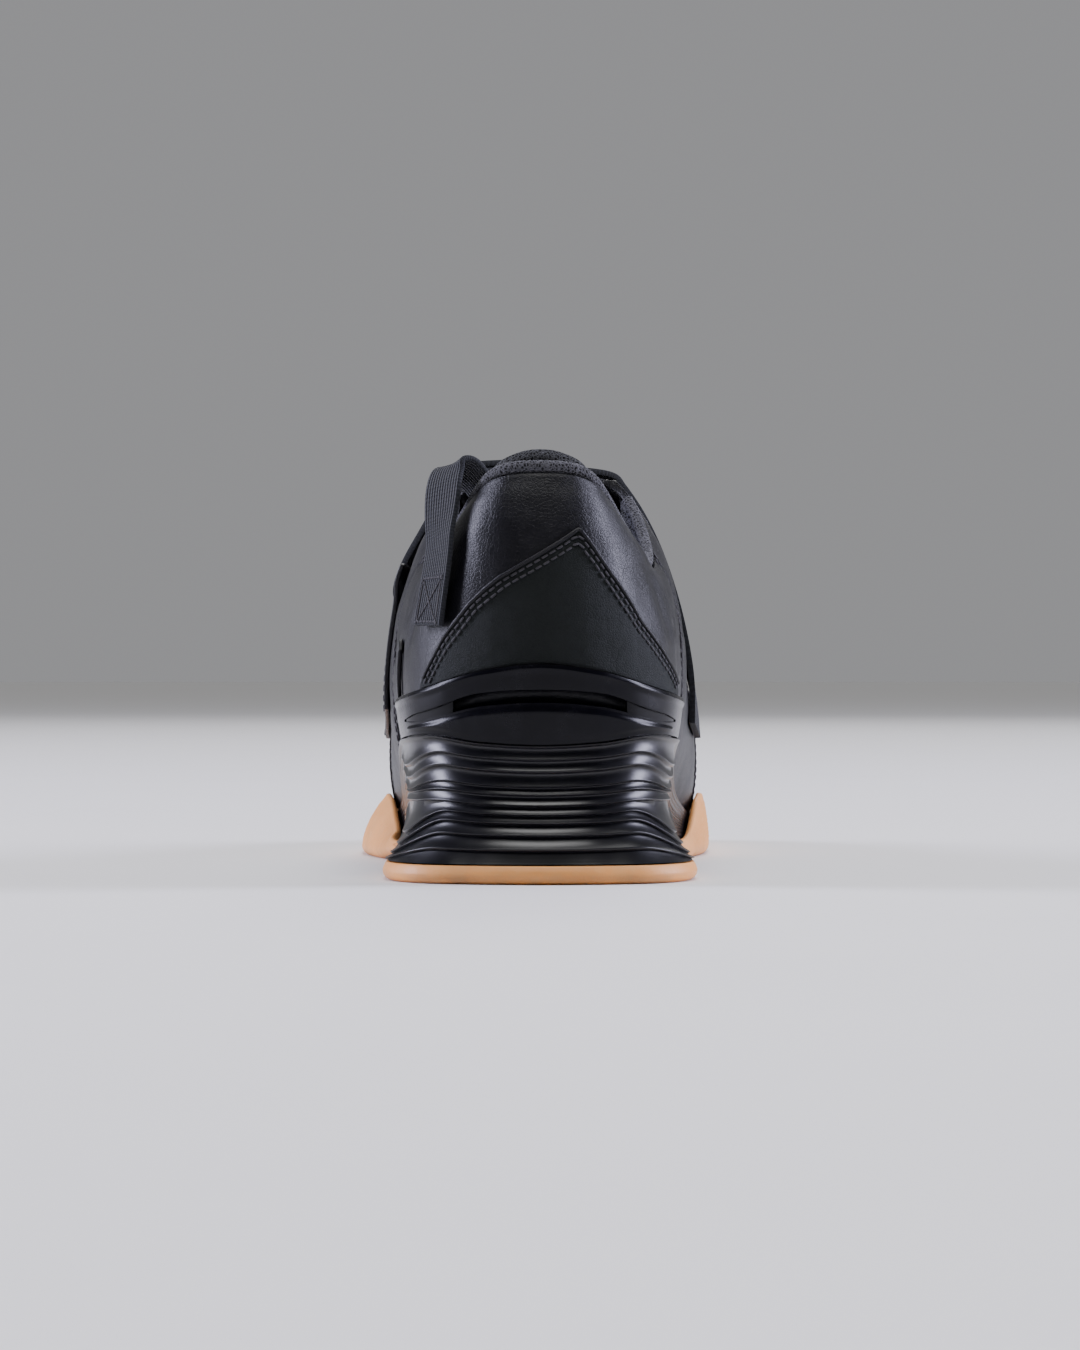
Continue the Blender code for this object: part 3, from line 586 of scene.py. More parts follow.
for name, place, target, size, power, color in studio["lights"]:
    bpy.ops.object.light_add(type="AREA", location=place)
    lamp = bpy.context.object
    lamp.name, lamp.data.shape = name, "RECTANGLE"
    lamp.data.size, lamp.data.size_y = size
    lamp.data.energy, lamp.data.color = power, color
    lamp.rotation_euler = (Vector(target) - Vector(place)).to_track_quat("-Z", "Y").to_euler()
sunTurn = [math.radians(turn) for turn in studio["sunTurn"]]
bpy.ops.object.light_add(type="SUN", location=studio["sunPlace"], rotation=sunTurn)
sun = bpy.context.object
sun.name, sun.data.energy, sun.data.angle = "skyLight", studio["sun"], math.radians(studio["sunSpread"])

world = bpy.data.worlds.new("studio")
world.use_nodes = True
nodes, links = world.node_tree.nodes, world.node_tree.links
around, ahead, shades = (nodes.new(f"ShaderNode{kind}") for kind in ("TexCoord", "SeparateXYZ", "ValToRGB"))
for stop, place, color in zip(shades.color_ramp.elements, studio["fade"], (studio["near"], studio["far"])):
    stop.color = (*color, 1)
    stop.position = place
links.new(around.outputs["Generated"], ahead.inputs[0])
links.new(ahead.outputs["Y"], shades.inputs[0])
links.new(shades.outputs[0], nodes["Background"].inputs["Color"])
bpy.context.scene.world = world

bpy.ops.mesh.primitive_circle_add(vertices=64, radius=studio["floorRadius"], fill_type="NGON")
floor = bpy.context.object
floor.name = floor.data.name = "floor"
floorFinish = Finish("paleFloor", {"Roughness": 0.75})
mottle = floorFinish.cloud(floorFinish.place(), 9.0, 4.0)
darker = tuple(shade * studio["mottle"] for shade in studio["floor"])
floor.data.materials.append(floorFinish.send(floorFinish.blend(mottle, studio["floor"], darker)))


print("finishes")


def makeGum():
    f = Finish("gumRubber", {
        "Specular IOR Level": 0.42, "Subsurface Weight": 0.04, "Subsurface Radius": (0.004, 0.002, 0.001)})
    place = f.place()
    height = f.axis(place, "Z")
    soil = f.ramp(f.cloud(place, 60.0, 6.0, 0.65), 0.42, 0.72)
    low = f.ramp(height * 120.0, 0.0, 0.42, 1.0, 0.0)  # darker near the ground, in the soil's patches
    streak = f.ramp(f.cloud(place, 240.0, 4.0, 0.6), 0.45, 0.70)
    color = f.blend(f.cloud(place, 35.0, 3.0), (0.74, 0.30, 0.080), (0.86, 0.40, 0.125))
    color = f.blend(soil * 0.35, color, (0.42, 0.20, 0.085))
    color = f.blend(low * soil * 0.8, color, (0.16, 0.11, 0.075))
    color = f.blend(streak * 0.22, color, (0.90, 0.52, 0.22))
    rough = f.ramp(streak, 0.0, 1.0, 0.46, 0.62)
    return f.send(color, rough, ((f.cloud(place, 1500.0, 2.0), 0.00006), (soil, 0.00012)))


def makeFoam():
    f = Finish("blackSole", {"Specular IOR Level": 0.42})
    place = f.place()
    scuff = f.ramp(f.cloud(place, 170.0, 6.0, 0.7), 0.56, 0.72)
    dust = f.ramp(f.cloud(place, 45.0, 4.0, 0.6), 0.45, 0.75)
    color = f.blend(dust * 0.5, (0.0022, 0.0021, 0.0036), (0.0060, 0.0056, 0.0088))
    color = f.blend(scuff * 0.18, color, (0.030, 0.028, 0.034))
    rough = f.ramp(dust, 0.0, 1.0, 0.29, 0.35)
    wrinkle = f.cloud(place, 320.0, 4.0, 0.6)
    return f.send(color, rough, ((f.cloud(place, 2600.0, 2.0), 0.000006), (wrinkle, 0.00002)))


def makeLeather(
    name, dark, light, grain=900.0, depth=0.000035, shine=(0.40, 0.52), wrinkle=0.000025, gloss=0.30
):
    f = Finish(name, {"Specular IOR Level": gloss, "Coat Roughness": 0.35})
    place = f.place()
    stir = f.node("ShaderNodeTexNoise", {}, {"Vector": place, "Scale": 300.0, "Detail": 2.0}, output="Color")
    stir = f.node("ShaderNodeVectorMath", {"operation": "SCALE"}, {0: stir, "Scale": 0.0012})
    bent = f.node("ShaderNodeVectorMath", {"operation": "ADD"}, {0: place, 1: stir})
    pebble = f.ramp(f.cells(bent, grain), 0.0, 0.16)
    fine = f.ramp(f.cells(bent, grain * 2.3), 0.0, 0.20)
    drawn = f.node("ShaderNodeMapping", {}, {"Vector": bent, "Scale": (1.0, 0.7, 0.42)})
    creased = f.ramp(f.cells(drawn, 170.0), 0.0, 0.20)
    wear = f.ramp(f.cloud(place, 38.0, 5.0, 0.6), 0.50, 0.74)
    color = f.blend(wear * 0.6, dark, light)
    color = f.blend((1 - pebble) * 0.5, color, tuple(c * 0.45 for c in dark))
    rough = f.ramp(wear, 0.0, 1.0, *shine)
    dents = f.cloud(place, 120.0, 3.0)
    bumps = ((fine, depth * 0.45), (pebble, depth), (creased, wrinkle), (dents, 0.00012))
    return f.send(color, rough, bumps, coat=wear * 0.05)


def makePlastic():
    f = Finish("clipPlastic", {"Specular IOR Level": 0.14, "Coat Roughness": 0.25})
    place = f.place()
    wear = f.ramp(f.cloud(place, 90.0, 5.0, 0.6), 0.50, 0.76)
    color = f.blend(wear * 0.5, (0.0024, 0.0023, 0.0039), (0.0060, 0.0056, 0.0088))
    rough = f.ramp(wear, 0.0, 1.0, 0.23, 0.34)
    return f.send(color, rough, ((f.cells(place, 2400.0), 0.000008),), coat=wear * 0.08)


def makeMesh(name, dark, light, scale=620.0, depth=0.0005):  # a knitted mesh with small open cells
    f = Finish(name, {"Specular IOR Level": 0.2, "Sheen Weight": 0.10, "Sheen Roughness": 0.5})
    place = f.place()
    cell = f.ramp(f.cells(place, scale), 0.02, 0.30, 1.0, 0.0)
    fuzz = f.cloud(place, 4200.0, 3.0, 0.7)
    height = cell * 0.8 + fuzz * 0.35
    color = f.blend(f.ramp(height, 0.15, 1.0), dark, light)
    return f.send(color, f.ramp(fuzz, 0.0, 1.0, 0.85, 0.97), ((height, depth),))


def makeWebbing(name, dark, light, countU, countV, depth=0.0004):  # woven tape: warp ribs with fine picks
    f = Finish(name, {"Specular IOR Level": 0.25, "Sheen Weight": 0.08, "Sheen Roughness": 0.45})
    flat = f.flat()
    along = f.waves(f.axis(flat, "X"), countU)
    over = f.waves(f.axis(flat, "Y"), countV)
    fuzz = f.cloud(f.place(), 3000.0, 3.0, 0.7)
    height = along * 0.75 + over * 0.16 + fuzz * 0.2
    color = f.blend(f.ramp(height, 0.25, 1.0), dark, light)
    return f.send(color, f.ramp(fuzz, 0.0, 1.0, 0.68, 0.86), ((height, depth),))


finishes = {
    "gum": makeGum(),
    "foam": makeFoam(),
    "leather": makeLeather("satinLeather", (0.0024, 0.0022, 0.0042), (0.0066, 0.0062, 0.0105)),
    "trim": makeLeather(
        "trimLeather", (0.0038, 0.0035, 0.0054), (0.0100, 0.0092, 0.0130),
        1100.0, 0.00004, (0.36, 0.48), 0.00004),
    "patch": makeLeather(
        "matteLeather", (0.0058, 0.0078, 0.0074), (0.0098, 0.0128, 0.0122),
        1300.0, 0.00006, (0.60, 0.70), 0.00005, 0.18),
    "plastic": makePlastic(),
    # the thread's light colour, on its raised twists, is a painted glint
    "thread": makeWebbing("thread", (0.010, 0.0095, 0.011), (0.085, 0.080, 0.090), 8, 2, 0.0001),
}


def ringLoop(name, columns, profile):  # profile(ring) gives one station's points, all the way round the shoe
    count = len(profile(0.0))
    kept = {}

    def place(u, v):
        ring = round(2 * u - 1, 9)
        if ring not in kept:
            kept[ring] = profile(ring)
        return kept[ring][round(v * (count - 1))]

    return gridPiece(name, columns, count - 1, place)


def ringCap(name, stations, across, rim, lift=None):  # fills the inside of one ring, from side to side
    def place(u, v):
        spot = rim(round(-v, 9)).lerp(rim(round(v, 9)), u)
        if lift and 0 < u < 1 and 0 < v < 1:
            spot.z += lift(spot, u, v)
        return spot

    return gridPiece(name, across, stations, place)


def ringBody(name, stations, profile, under=(2, None), top=(2, None)):  # each cap's faces across, and lift
    return sewUp(joinInto(name, [
        ringLoop(name, stations * 2, profile),
        ringCap(name, stations, under[0], lambda ring: profile(ring)[0], under[1]),
        ringCap(name, stations, top[0], lambda ring: profile(ring)[-1], top[1]),
    ]))


print("outsole")
outsoleFit = {
    "stations": 260, "toe": 0.93, "inset": 1.5, "edge": 1.6, "edgeSteps": 4, "wallSteps": 12, "bow": 0.687,
    "ridge": 0.00030, "ridgePitch": 0.0036, "slant": 0.8, "ridged": (0.002, 0.006),
    "ridgeBand": (0, 0.2, 0.8, 0.95),
    "across": 46, "groove": 0.0009, "pitch": 0.0090, "chevron": 0.45, "cut": (0.45, 0.85),
    "margin": (0.003, 0.006), "treadEnds": (0.012, 0.022, 0.975, 0.988),
}


def wingTall(ring):
    return smoothStep(0, heel["wingHeight"] / 4, wingHeight(ring))


def evenFlare(ring):  # both sides' flares, made one at the toe
    share = smoothStep(outsoleFit["toe"], 1.0, abs(ring)) / 2
    return soleFlare(ring) * (1 - share) + soleFlare(-ring) * share


@cache
def wallTopIn(ring):
    plain = evenFlare(ring) - heel["edgeRound"] * outsoleFit["inset"]
    top = groundHeight(footPoint(ring).y) + shoe["outsoleThick"] + wingHeight(ring)
    inner = innerWallOut(ring, top)
    if wingHeight(ring) > 0 and inner > plain:
        return inner
    return plain + (inner - plain) * wingTall(ring)


def outsoleProfile(ring):
    flare, edge = evenFlare(ring), heel["edgeRound"] * outsoleFit["edge"]
    top = shoe["outsoleThick"] + wingHeight(ring)
    inner = wallTopIn(ring)
    lip = heel["edgeRound"] + (heel["wingTop"] - heel["edgeRound"]) * wingTall(ring)
    outer = inner + lip
    spots = []
    for step in range(outsoleFit["edgeSteps"] + 1):
        turn = step / outsoleFit["edgeSteps"] * math.pi / 2
        spots.append((flare - edge + edge * math.sin(turn), edge * (1 - math.cos(turn))))
    low = footPoint(ring)
    for step in range(outsoleFit["wallSteps"]):
        t = (step + 1) / outsoleFit["wallSteps"]
        z = edge + (top - lip * 0.3 - edge) * t
        out = flare + (outer - flare) * ((1 - outsoleFit["bow"]) * t + outsoleFit["bow"] * t * t)
        slant = (low.y + z * outsoleFit["slant"]) / outsoleFit["ridgePitch"]
        mask = smoothStep(*outsoleFit["ridged"], wingHeight(ring)) * between(*outsoleFit["ridgeBand"], t)
        spots.append((out + outsoleFit["ridge"] * mask * math.cos(slant * 2 * math.pi), z))
    spots.append((outer - lip * 0.12, top - lip * 0.1))
    spots.append((outer - lip * 0.35, top))
    spots.append((inner + lip * 0.2, top))
    spots.append((inner, top - lip * 0.2))
    floorIn = inner - heel["edgeRound"] * 0.4
    if wingHeight(ring) > 0:
        floorIn = min(inner, max(floorIn, innerWallOut(ring, 0)))
    spots.append((floorIn, shoe["outsoleThick"] - (0.0003 if wingHeight(ring) > 0 else 0.0)))
    return [solePoint(ring, out, z) for out, z in spots]


def treadLift(spot, u, v):
    width = 2 * abs(footPoint(round(v, 9)).x - footPoint(round(-v, 9)).x)
    inside = smoothStep(*outsoleFit["margin"], min(u, 1 - u) * width) * between(*outsoleFit["treadEnds"], v)
    wave = math.cos((spot.y + abs(spot.x) * outsoleFit["chevron"]) / outsoleFit["pitch"] * 2 * math.pi)
    return outsoleFit["groove"] * inside * smoothStep(*outsoleFit["cut"], wave)


outsoleUnder = (outsoleFit["across"], treadLift)
outsole = ringBody("outsoleRubber", outsoleFit["stations"], outsoleProfile, outsoleUnder)
dress(outsole, finishes["gum"], ["outsole"], 60)


print("midsole")
blockFit = {
    "stations": 170, "steps": (0.0, 0.04, 0.09, 0.16, 0.26, 0.40, 0.56, 0.70, 0.78, 0.84, 0.90, 0.96),
    "groove": 0.78, "slope": 1.8,
    # the lower ribs gather at the heel's corners, and the upper ones droop there
    "corner": (0.095, 0.190, 0.24, 0.36), "gather": 0.48, "gatherCurve": 0.4,
    "droop": 0.10, "drooping": (0.50, 0.75, 0.88, 1.0),
    "crush": 0.0002, "crushed": (0.10, 0.18, 0.45, 0.6), "crushScale": (90, 60, 260),
}


@cache
def blockSpot(ring, share, rib):
    side, station = wrap(ring)
    low = footPoint(ring)
    bottom = groundHeight(low.y) + shoe["outsoleThick"] + gap
    corner = between(*blockFit["corner"], station)
    gathered = (max(0.0, blockFit["gather"] - share) / blockFit["gather"]) ** blockFit["gatherCurve"]
    place = share * (1 - corner * gathered)
    place -= blockFit["droop"] * corner * between(*blockFit["drooping"], share)
    z = bottom + (cupHeight(ring) - bottom) * place
    out = blockOut(ring, place, rib)
    wide, long, high = blockFit["crushScale"]
    crush = noise.noise(Vector((low.x * wide + side * 7, low.y * long, z * high)))
    out -= blockFit["crush"] * max(0.0, crush) * between(*blockFit["crushed"], station)
    spot = low + footNormal(ring) * out
    spot.z = z
    return spot


def blockProfile(ring):
    spots = []
    below = 0.0
    groove = blockFit["groove"]
    for crest in heel["crests"]:
        for step in blockFit["steps"]:
            if step < groove:  # each rib slopes out down to its crest, and the next crest hangs over it
                rib = -1 + 2 * (1 - step / groove) ** blockFit["slope"] if below else -1
            else:
                rib = -1 + 2 * math.sin((step - groove) / (1 - groove) * math.pi / 2)
            spots.append(blockSpot(ring, below + (crest - below) * step, rib))
        below = crest
    spots.append(blockSpot(ring, 1.0, 1))
    spots.append(atHeight(ring, cupHeight(ring)))
    bed = upperPoint(ring, 0, gap)
    bed.z = footPoint(ring).z - gap
    spots.append(bed)
    return spots


midsole = ringBody("midsoleBlock", blockFit["stations"], blockProfile)
dress(midsole, finishes["foam"], ["midsole"], 75)


print("upper")
upperFit = {
    "stations": 150, "rows": 72, "edge": 0.0006,
    # creases: ring and rise of both ends, half width and depth in metres; a minus depth is a ridge
    "creases": (
        (-0.215, 0.93, -0.265, 0.35, 0.0030, 0.00085), (-0.245, 0.97, -0.300, 0.55, 0.0026, 0.00070),
        (-0.170, 0.80, -0.215, 0.38, 0.0035, 0.00060), (-0.300, 0.90, -0.345, 0.30, 0.0032, 0.00075),
        (0.225, 0.95, 0.270, 0.36, 0.0030, 0.00080), (0.255, 0.90, 0.310, 0.50, 0.0027, 0.00070),
        (0.175, 0.82, 0.205, 0.45, 0.0034, 0.00055), (0.315, 0.88, 0.350, 0.32, 0.0032, 0.00070),
        (-0.150, 0.95, -0.235, 0.80, 0.0022, 0.00050), (0.150, 0.93, 0.240, 0.80, 0.0022, 0.00050),
        (-0.235, 0.70, -0.330, 0.62, 0.0022, 0.00045), (0.240, 0.68, 0.330, 0.60, 0.0022, 0.00045),
        (-0.120, 0.40, -0.190, 0.30, 0.0026, 0.00040), (0.120, 0.42, 0.190, 0.28, 0.0026, 0.00040),
        (-0.870, 0.72, 0.870, 0.72, 0.0060, -0.00060),
    ),
    "pairs": (  # creases that both sides have
        (0.44, 0.80, 0.40, 0.30, 0.0040, 0.00090), (0.50, 0.55, 0.47, 0.20, 0.0035, 0.00060),
        (0.735, 0.30, 0.760, 0.84, 0.0042, 0.00120), (0.775, 0.40, 0.800, 0.90, 0.0036, 0.00100),
        (0.700, 0.35, 0.715, 0.70, 0.0034, 0.00070),
    ),
    # seams on both sides: ring and rise along the line, with a row of stitches on each side
    "seams": (
        ((0.375, 0.985), (0.400, 0.75), (0.440, 0.45), (0.500, 0.04)),
        ((0.620, 0.78), (0.640, 0.50), (0.690, 0.06)),
    ),
    "seamWidth": 0.0008, "seamDepth": 0.0007, "seamReach": 0.004, "seamStitch": 0.0016, "seamProud": 0.00015,
    "creaseReach": 3.5, "shoulder": 0.45,
    "puff": 0.0006, "collar": (0.70, 0.84, 0.92, 1.0), "collarEnd": (0.42, 0.5),
    "soft": ((55, 0.00045), (140, 0.00016)), "softBand": (0, 0.12, 0.93, 1.0), "most": 0.0009,
    # flat under the clip and the patch, and a hollow behind the clip's slot
    "flatEnd": 0.30, "flatTop": 0.022, "flatFade": 0.006,
    "hollow": 0.0030, "hollowEnd": 0.17, "hollowFade": 0.015,
}


def alongShell(line, steps, proud=0.0):  # (place, normal) pairs along a line of ring and rise
    pairs = []
    for (ringA, riseA), (ringB, riseB) in zip(line, line[1:]):
        for i in range(steps):
            share = i / steps
            ring, rise = ringA + (ringB - ringA) * share, riseA + (riseB - riseA) * share
            pairs.append((upperPoint(ring, rise, proud), shellNormal(ring, rise)))
    pairs.append((upperPoint(*line[-1], proud), shellNormal(*line[-1])))
    return pairs


def beside(pairs, distance):  # the same line moved sideways on the surface
    moved = []
    for i, (spot, up) in enumerate(pairs):
        moved.append((spot + up.cross(heading(pairs, i).normalized()) * distance, up))
    return moved


def nearest(line, spot):  # distance to a chain of points, and how far along it the nearest place is
    best, where = 1.0, 0.0
    count = len(line) - 1
    for i in range(count):
        start, run = line[i], line[i + 1] - line[i]
        share = min(1.0, max(0.0, (spot - start).dot(run) / max(run.length_squared, 1e-12)))
        away = (start + run * share - spot).length
        if away < best:
            best, where = away, (i + share) / count
    return best, where


creases = list(upperFit["creases"])
for side in (-1, 1):
    creases += [(side * a, b, side * c, d, wide, deep) for a, b, c, d, wide, deep in upperFit["pairs"]]
creaseLines = []
for ringA, riseA, ringB, riseB, wide, deep in creases:
    line = [pair[0] for pair in alongShell(((ringA, riseA), (ringB, riseB)), 5)]
    if ringB - ringA > 1:  # across the toe, where only the lateral half is kept
        line = [pair[0] for pair in alongShell(((ringA, riseA), (-1.0, riseA)), 4)]
    for i, spot in enumerate(line[1:-1], 1):
        spot += Vector((math.sin(i * 2.1) * 0.0012, math.sin(i * 1.7) * 0.0010, 0))
    creaseLines.append((line, wide, deep))
seams = [[(ring * side, rise) for ring, rise in line] for line in upperFit["seams"] for side in (-1, 1)]
seamLines = [[pair[0] for pair in alongShell(line, 6)] for line in seams]


def shellRelief(spot, ring, rise):
    lift = 0.0
    for line, wide, deep in creaseLines:
        away, where = nearest(line, spot)
        if away < upperFit["creaseReach"] * wide:
            fade = math.sin(math.pi * min(1.0, max(0.0, 0.06 + where * 0.88)))
            bank = upperFit["shoulder"] * math.exp(-(((away - 2 * wide) / wide) ** 2))
            lift -= deep * fade * (math.exp(-((away / wide) ** 2)) - bank)
    for line in seamLines:
        away = nearest(line, spot)[0]
        if away < upperFit["seamReach"]:
            lift -= upperFit["seamDepth"] * math.exp(-((away / upperFit["seamWidth"]) ** 2))
    behind = 1 - smoothStep(*upperFit["collarEnd"], abs(ring))
    lift += upperFit["puff"] * between(*upperFit["collar"], rise) * behind
    soft = sum(noise.noise(spot * scale) * deep for scale, deep in upperFit["soft"])
    return lift + soft * between(*upperFit["softBand"], rise)


Level = namedtuple("Level", "at lens slot top")
clip = {
    "height": 0.0215, "thick": 0.0018, "end": 10 / stationCount, "slotEnd": 6 / stationCount,
    "columns": 240, "edge": 0.00055,
    "lensLift": 0.00055, "lensEnd": 0.175, "ridge": 0.00040,
    "over": 0.004, "pinch": 0.035, "point": 0.012,  # the slot's ends are pointed
    "holeEnd": 0.087, "floorDeep": 0.0011, "floorThick": 0.0007, "floorEdge": 0.00015,
    "levels": [Level(*row) for row in (
        (0.00, 0.52, 0.685, 1.00), (0.06, 0.42, 0.590, 0.86), (0.11, 0.20, 0.320, 0.61),
        (0.17, 0.15, 0.240, 0.52), (0.30, 0.17, 0.210, 0.50))],
    "bands": (14, 4, 12),
}


def clipLevel(ring, mark):
    return read(clip["levels"], mark, abs(ring))


def clipBase(ring):
    return cupHeight(ring) + 2.5 * gap


def clipTop(ring):
    return clipBase(ring) + clipLevel(ring, "top") * clip["height"]


def upperSpot(u, v):
    ring = round(2 * u - 1, 9)
    spot = shellPoint(ring, v)
    under = sunk = 0.0
    if abs(ring) < upperFit["flatEnd"]:
        above = spot.z - cupHeight(ring) - upperFit["flatTop"]
        under = 1 - smoothStep(0.0, upperFit["flatFade"], above)
    if abs(ring) < upperFit["hollowEnd"]:
        share = (spot.z - clipBase(ring)) / clip["height"]
        low, high = clipLevel(ring, "lens"), clipLevel(ring, "slot")
        sunk = between(low - 0.08, low + 0.04, high - 0.04, high + 0.08, share) * upperFit["hollow"]
        sunk *= 1 - smoothStep(clip["holeEnd"], clip["holeEnd"] + upperFit["hollowFade"], abs(ring))
    relief = min(shellRelief(spot, ring, v) * (1 - under), upperFit["most"])
    return spot + shellNormal(ring, v) * (relief - sunk)


upper = gridPiece("upperShell", upperFit["stations"] * 2, upperFit["rows"], upperSpot)
sewUp(upper, closed=False)
thicken(upper, shoe["wall"], -1, upperFit["edge"])
dress(upper, finishes["leather"], ["upper"], 60)

rows = []
for line in seams:
    pairs = alongShell(line, 14, upperFit["seamProud"])
    rows += [beside(pairs, side * upperFit["seamStitch"]) for side in (1, -1)]
stitchRows("upperStitches", rows, "leather")


print("insole")
insoleFit = {"thick": 0.0040, "dome": 0.0012, "stations": 90, "across": 24}


def insoleRim(height, more):
    def place(ring):
        spot = footPoint(ring) + footNormal(ring) * (-(shoe["wall"] + 2 * gap) - more)
        spot.z += height
        return spot
    return place


def insoleDome(spot, u, v):
    return -insoleFit["dome"] * math.sin(math.pi * u) * math.sin(math.pi * v)


thick = insoleFit["thick"]
levels = [
    insoleRim(thick * high, more) for high, more in ((0, 0.0), (0.7, 0.0), (0.92, 0.0003), (1, 0.0012))]
insole = ringBody(
    "footbed", insoleFit["stations"], lambda ring: [level(ring) for level in levels],
    top=(insoleFit["across"], insoleDome))
dress(insole, makeMesh("footbedCloth", (0.010, 0.011, 0.013), (0.040, 0.042, 0.048), 900.0, 0.0002),
      ["insole"], 50)


print("heel clip")
clipRows = sum(clip["bands"])


def clipHeightAt(ring, row):
    lens, slot, top = (clipLevel(ring, mark) for mark in ("lens", "slot", "top"))
    middle = (lens + slot) / 2
    pinch = smoothStep(clip["slotEnd"] - clip["pinch"], clip["slotEnd"] + clip["over"], abs(ring))
    lens += (middle - clip["point"] - lens) * pinch
    slot += (middle + clip["point"] - slot) * pinch
    marks = (0.0, lens, slot, top)
    for band, count in enumerate(clip["bands"]):
        if row <= count:
            return marks[band] + (marks[band + 1] - marks[band]) * row / count
        row -= count
    return top


def clipSpot(u, v):
    ring = round((2 * u - 1) * clip["end"], 9)
    share = clipHeightAt(ring, round(v * clipRows))
    lens = clipLevel(ring, "lens")
    inside = between(0.03, 0.10, lens - 0.10, lens - 0.03, share)
    inside *= 1 - smoothStep(clip["lensEnd"] - 0.02, clip["lensEnd"], abs(ring))
    ridge = clip["ridge"] * math.exp(-(((share - clipLevel(ring, "top") + 0.05) / 0.03) ** 2))
    proud = gap + clip["thick"] + inside * clip["lensLift"] + ridge
    return atHeight(ring, clipBase(ring) + share * clip["height"], proud)


def inClipSlot(index):
    column, row = index % clip["columns"], index // clip["columns"]
    ring = ((column + 0.5) / clip["columns"] * 2 - 1) * clip["end"]
    return 0 <= row - clip["bands"][0] < clip["bands"][1] and abs(ring) < clip["slotEnd"]


heelClip = gridPiece("heelClip", clip["columns"], clipRows, clipSpot)
cutFaces(heelClip, inClipSlot)
thicken(heelClip, clip["thick"], -1, clip["edge"], 3)
dress(heelClip, finishes["plastic"], ["heel_clip"], 50)


def floorSpot(side, u, v):  # each end of the slot has a shallow floor, and only its middle is open
    along = u if side > 0 else 1 - u
    ring = round(side * (clip["holeEnd"] + (clip["slotEnd"] + clip["over"] - clip["holeEnd"]) * along), 9)
    lens, slot = clipLevel(ring, "lens"), clipLevel(ring, "slot")
    share = lens - 0.05 + (slot - lens + 0.10) * v
    deep = clip["floorDeep"] * (1 - 0.7 * smoothStep(clip["slotEnd"] - 0.05, clip["slotEnd"], abs(ring)))
    return atHeight(ring, round(clipBase(ring) + share * clip["height"], 8), gap + clip["thick"] - deep)


floors = [gridPiece("clipFloor", 20, 4, partial(floorSpot, side)) for side in (-1, 1)]
clipFloors = thicken(joinInto("clipFloors", floors), clip["floorThick"], -1, clip["floorEdge"])
dress(clipFloors, finishes["plastic"], [], 50)


print("side arm")
arm = {  # a leather arm with a slit, above the clip's lateral end
    "rings": (-0.302, -0.256), "heights": (0.0490, 0.0670), "thick": 0.0012, "columns": 18, "rows": 30,
    "slitColumns": (7, 11), "slitRows": (9, 23), "edge": 0.0004,
    "lean": 0.010, "round": 0.0030, "clear": 0.0006,
}


def armSpot(u, v):
    (first, last), (bottom, top) = arm["rings"], arm["heights"]
    ring = round(first + (last - first) * u + arm["lean"] * (v - 0.5), 9)
    low = max(bottom, clipTop(ring) + arm["clear"])
    return atHeight(ring, round(low + (top - arm["round"] * (2 * u - 1) ** 2 - low) * v, 8))


def inArmSlit(index):
    column, row = index % arm["columns"], index // arm["columns"]
    return column in range(*arm["slitColumns"]) and row in range(*arm["slitRows"])


sideArm = gridPiece("sideArm", arm["columns"], arm["rows"], armSpot)
cutFaces(sideArm, inArmSlit)
thicken(sideArm, arm["thick"], 1, arm["edge"])
dress(sideArm, finishes["trim"], [], 50)


print("counter patch")
Peak = namedtuple("Peak", "at top")
patch = {
    "top": 0.097, "thick": 0.0010, "columns": 44, "rows": 44,
    "rim": 0.00045, "rimWidth": 0.0011, "edge": 0.0003,
    "stitchIn": (0.0017, 0.0034), "stitchUp": 0.0002, "stitch": (0.0027, 0.9), "steps": 70, "window": 9,
    "clear": 0.0012, "endClear": 0.004, "lean": 1.25, "relief": 0.00010, "reliefScale": 260,
    "cordIn": 0.00035, "cordUp": 0.00005, "cord": (0.00055, 0.00045),
    "peaks": [Peak(*row) for row in (
        (-0.137, 0.560), (-0.105, 0.690), (-0.078, 0.785), (-0.045, 0.862), (0.048, 1.000),
        (0.090, 0.848), (0.115, 0.742), (0.155, 0.640), (0.200, 0.560))],
}
patchFirst, patchApex, patchLast = (patch["peaks"][i].at for i in (0, 4, -1))


def patchTop(ring):
    rows = [row for row in patch["peaks"] if row.at <= ring]
    before = rows[-1] if rows else patch["peaks"][0]
    after = next((row for row in patch["peaks"] if row.at > ring), patch["peaks"][-1])
    share = (ring - before.at) / (after.at - before.at) if after.at > before.at else 0.0
    return patch["top"] * (before.top + (after.top - before.top) * share)


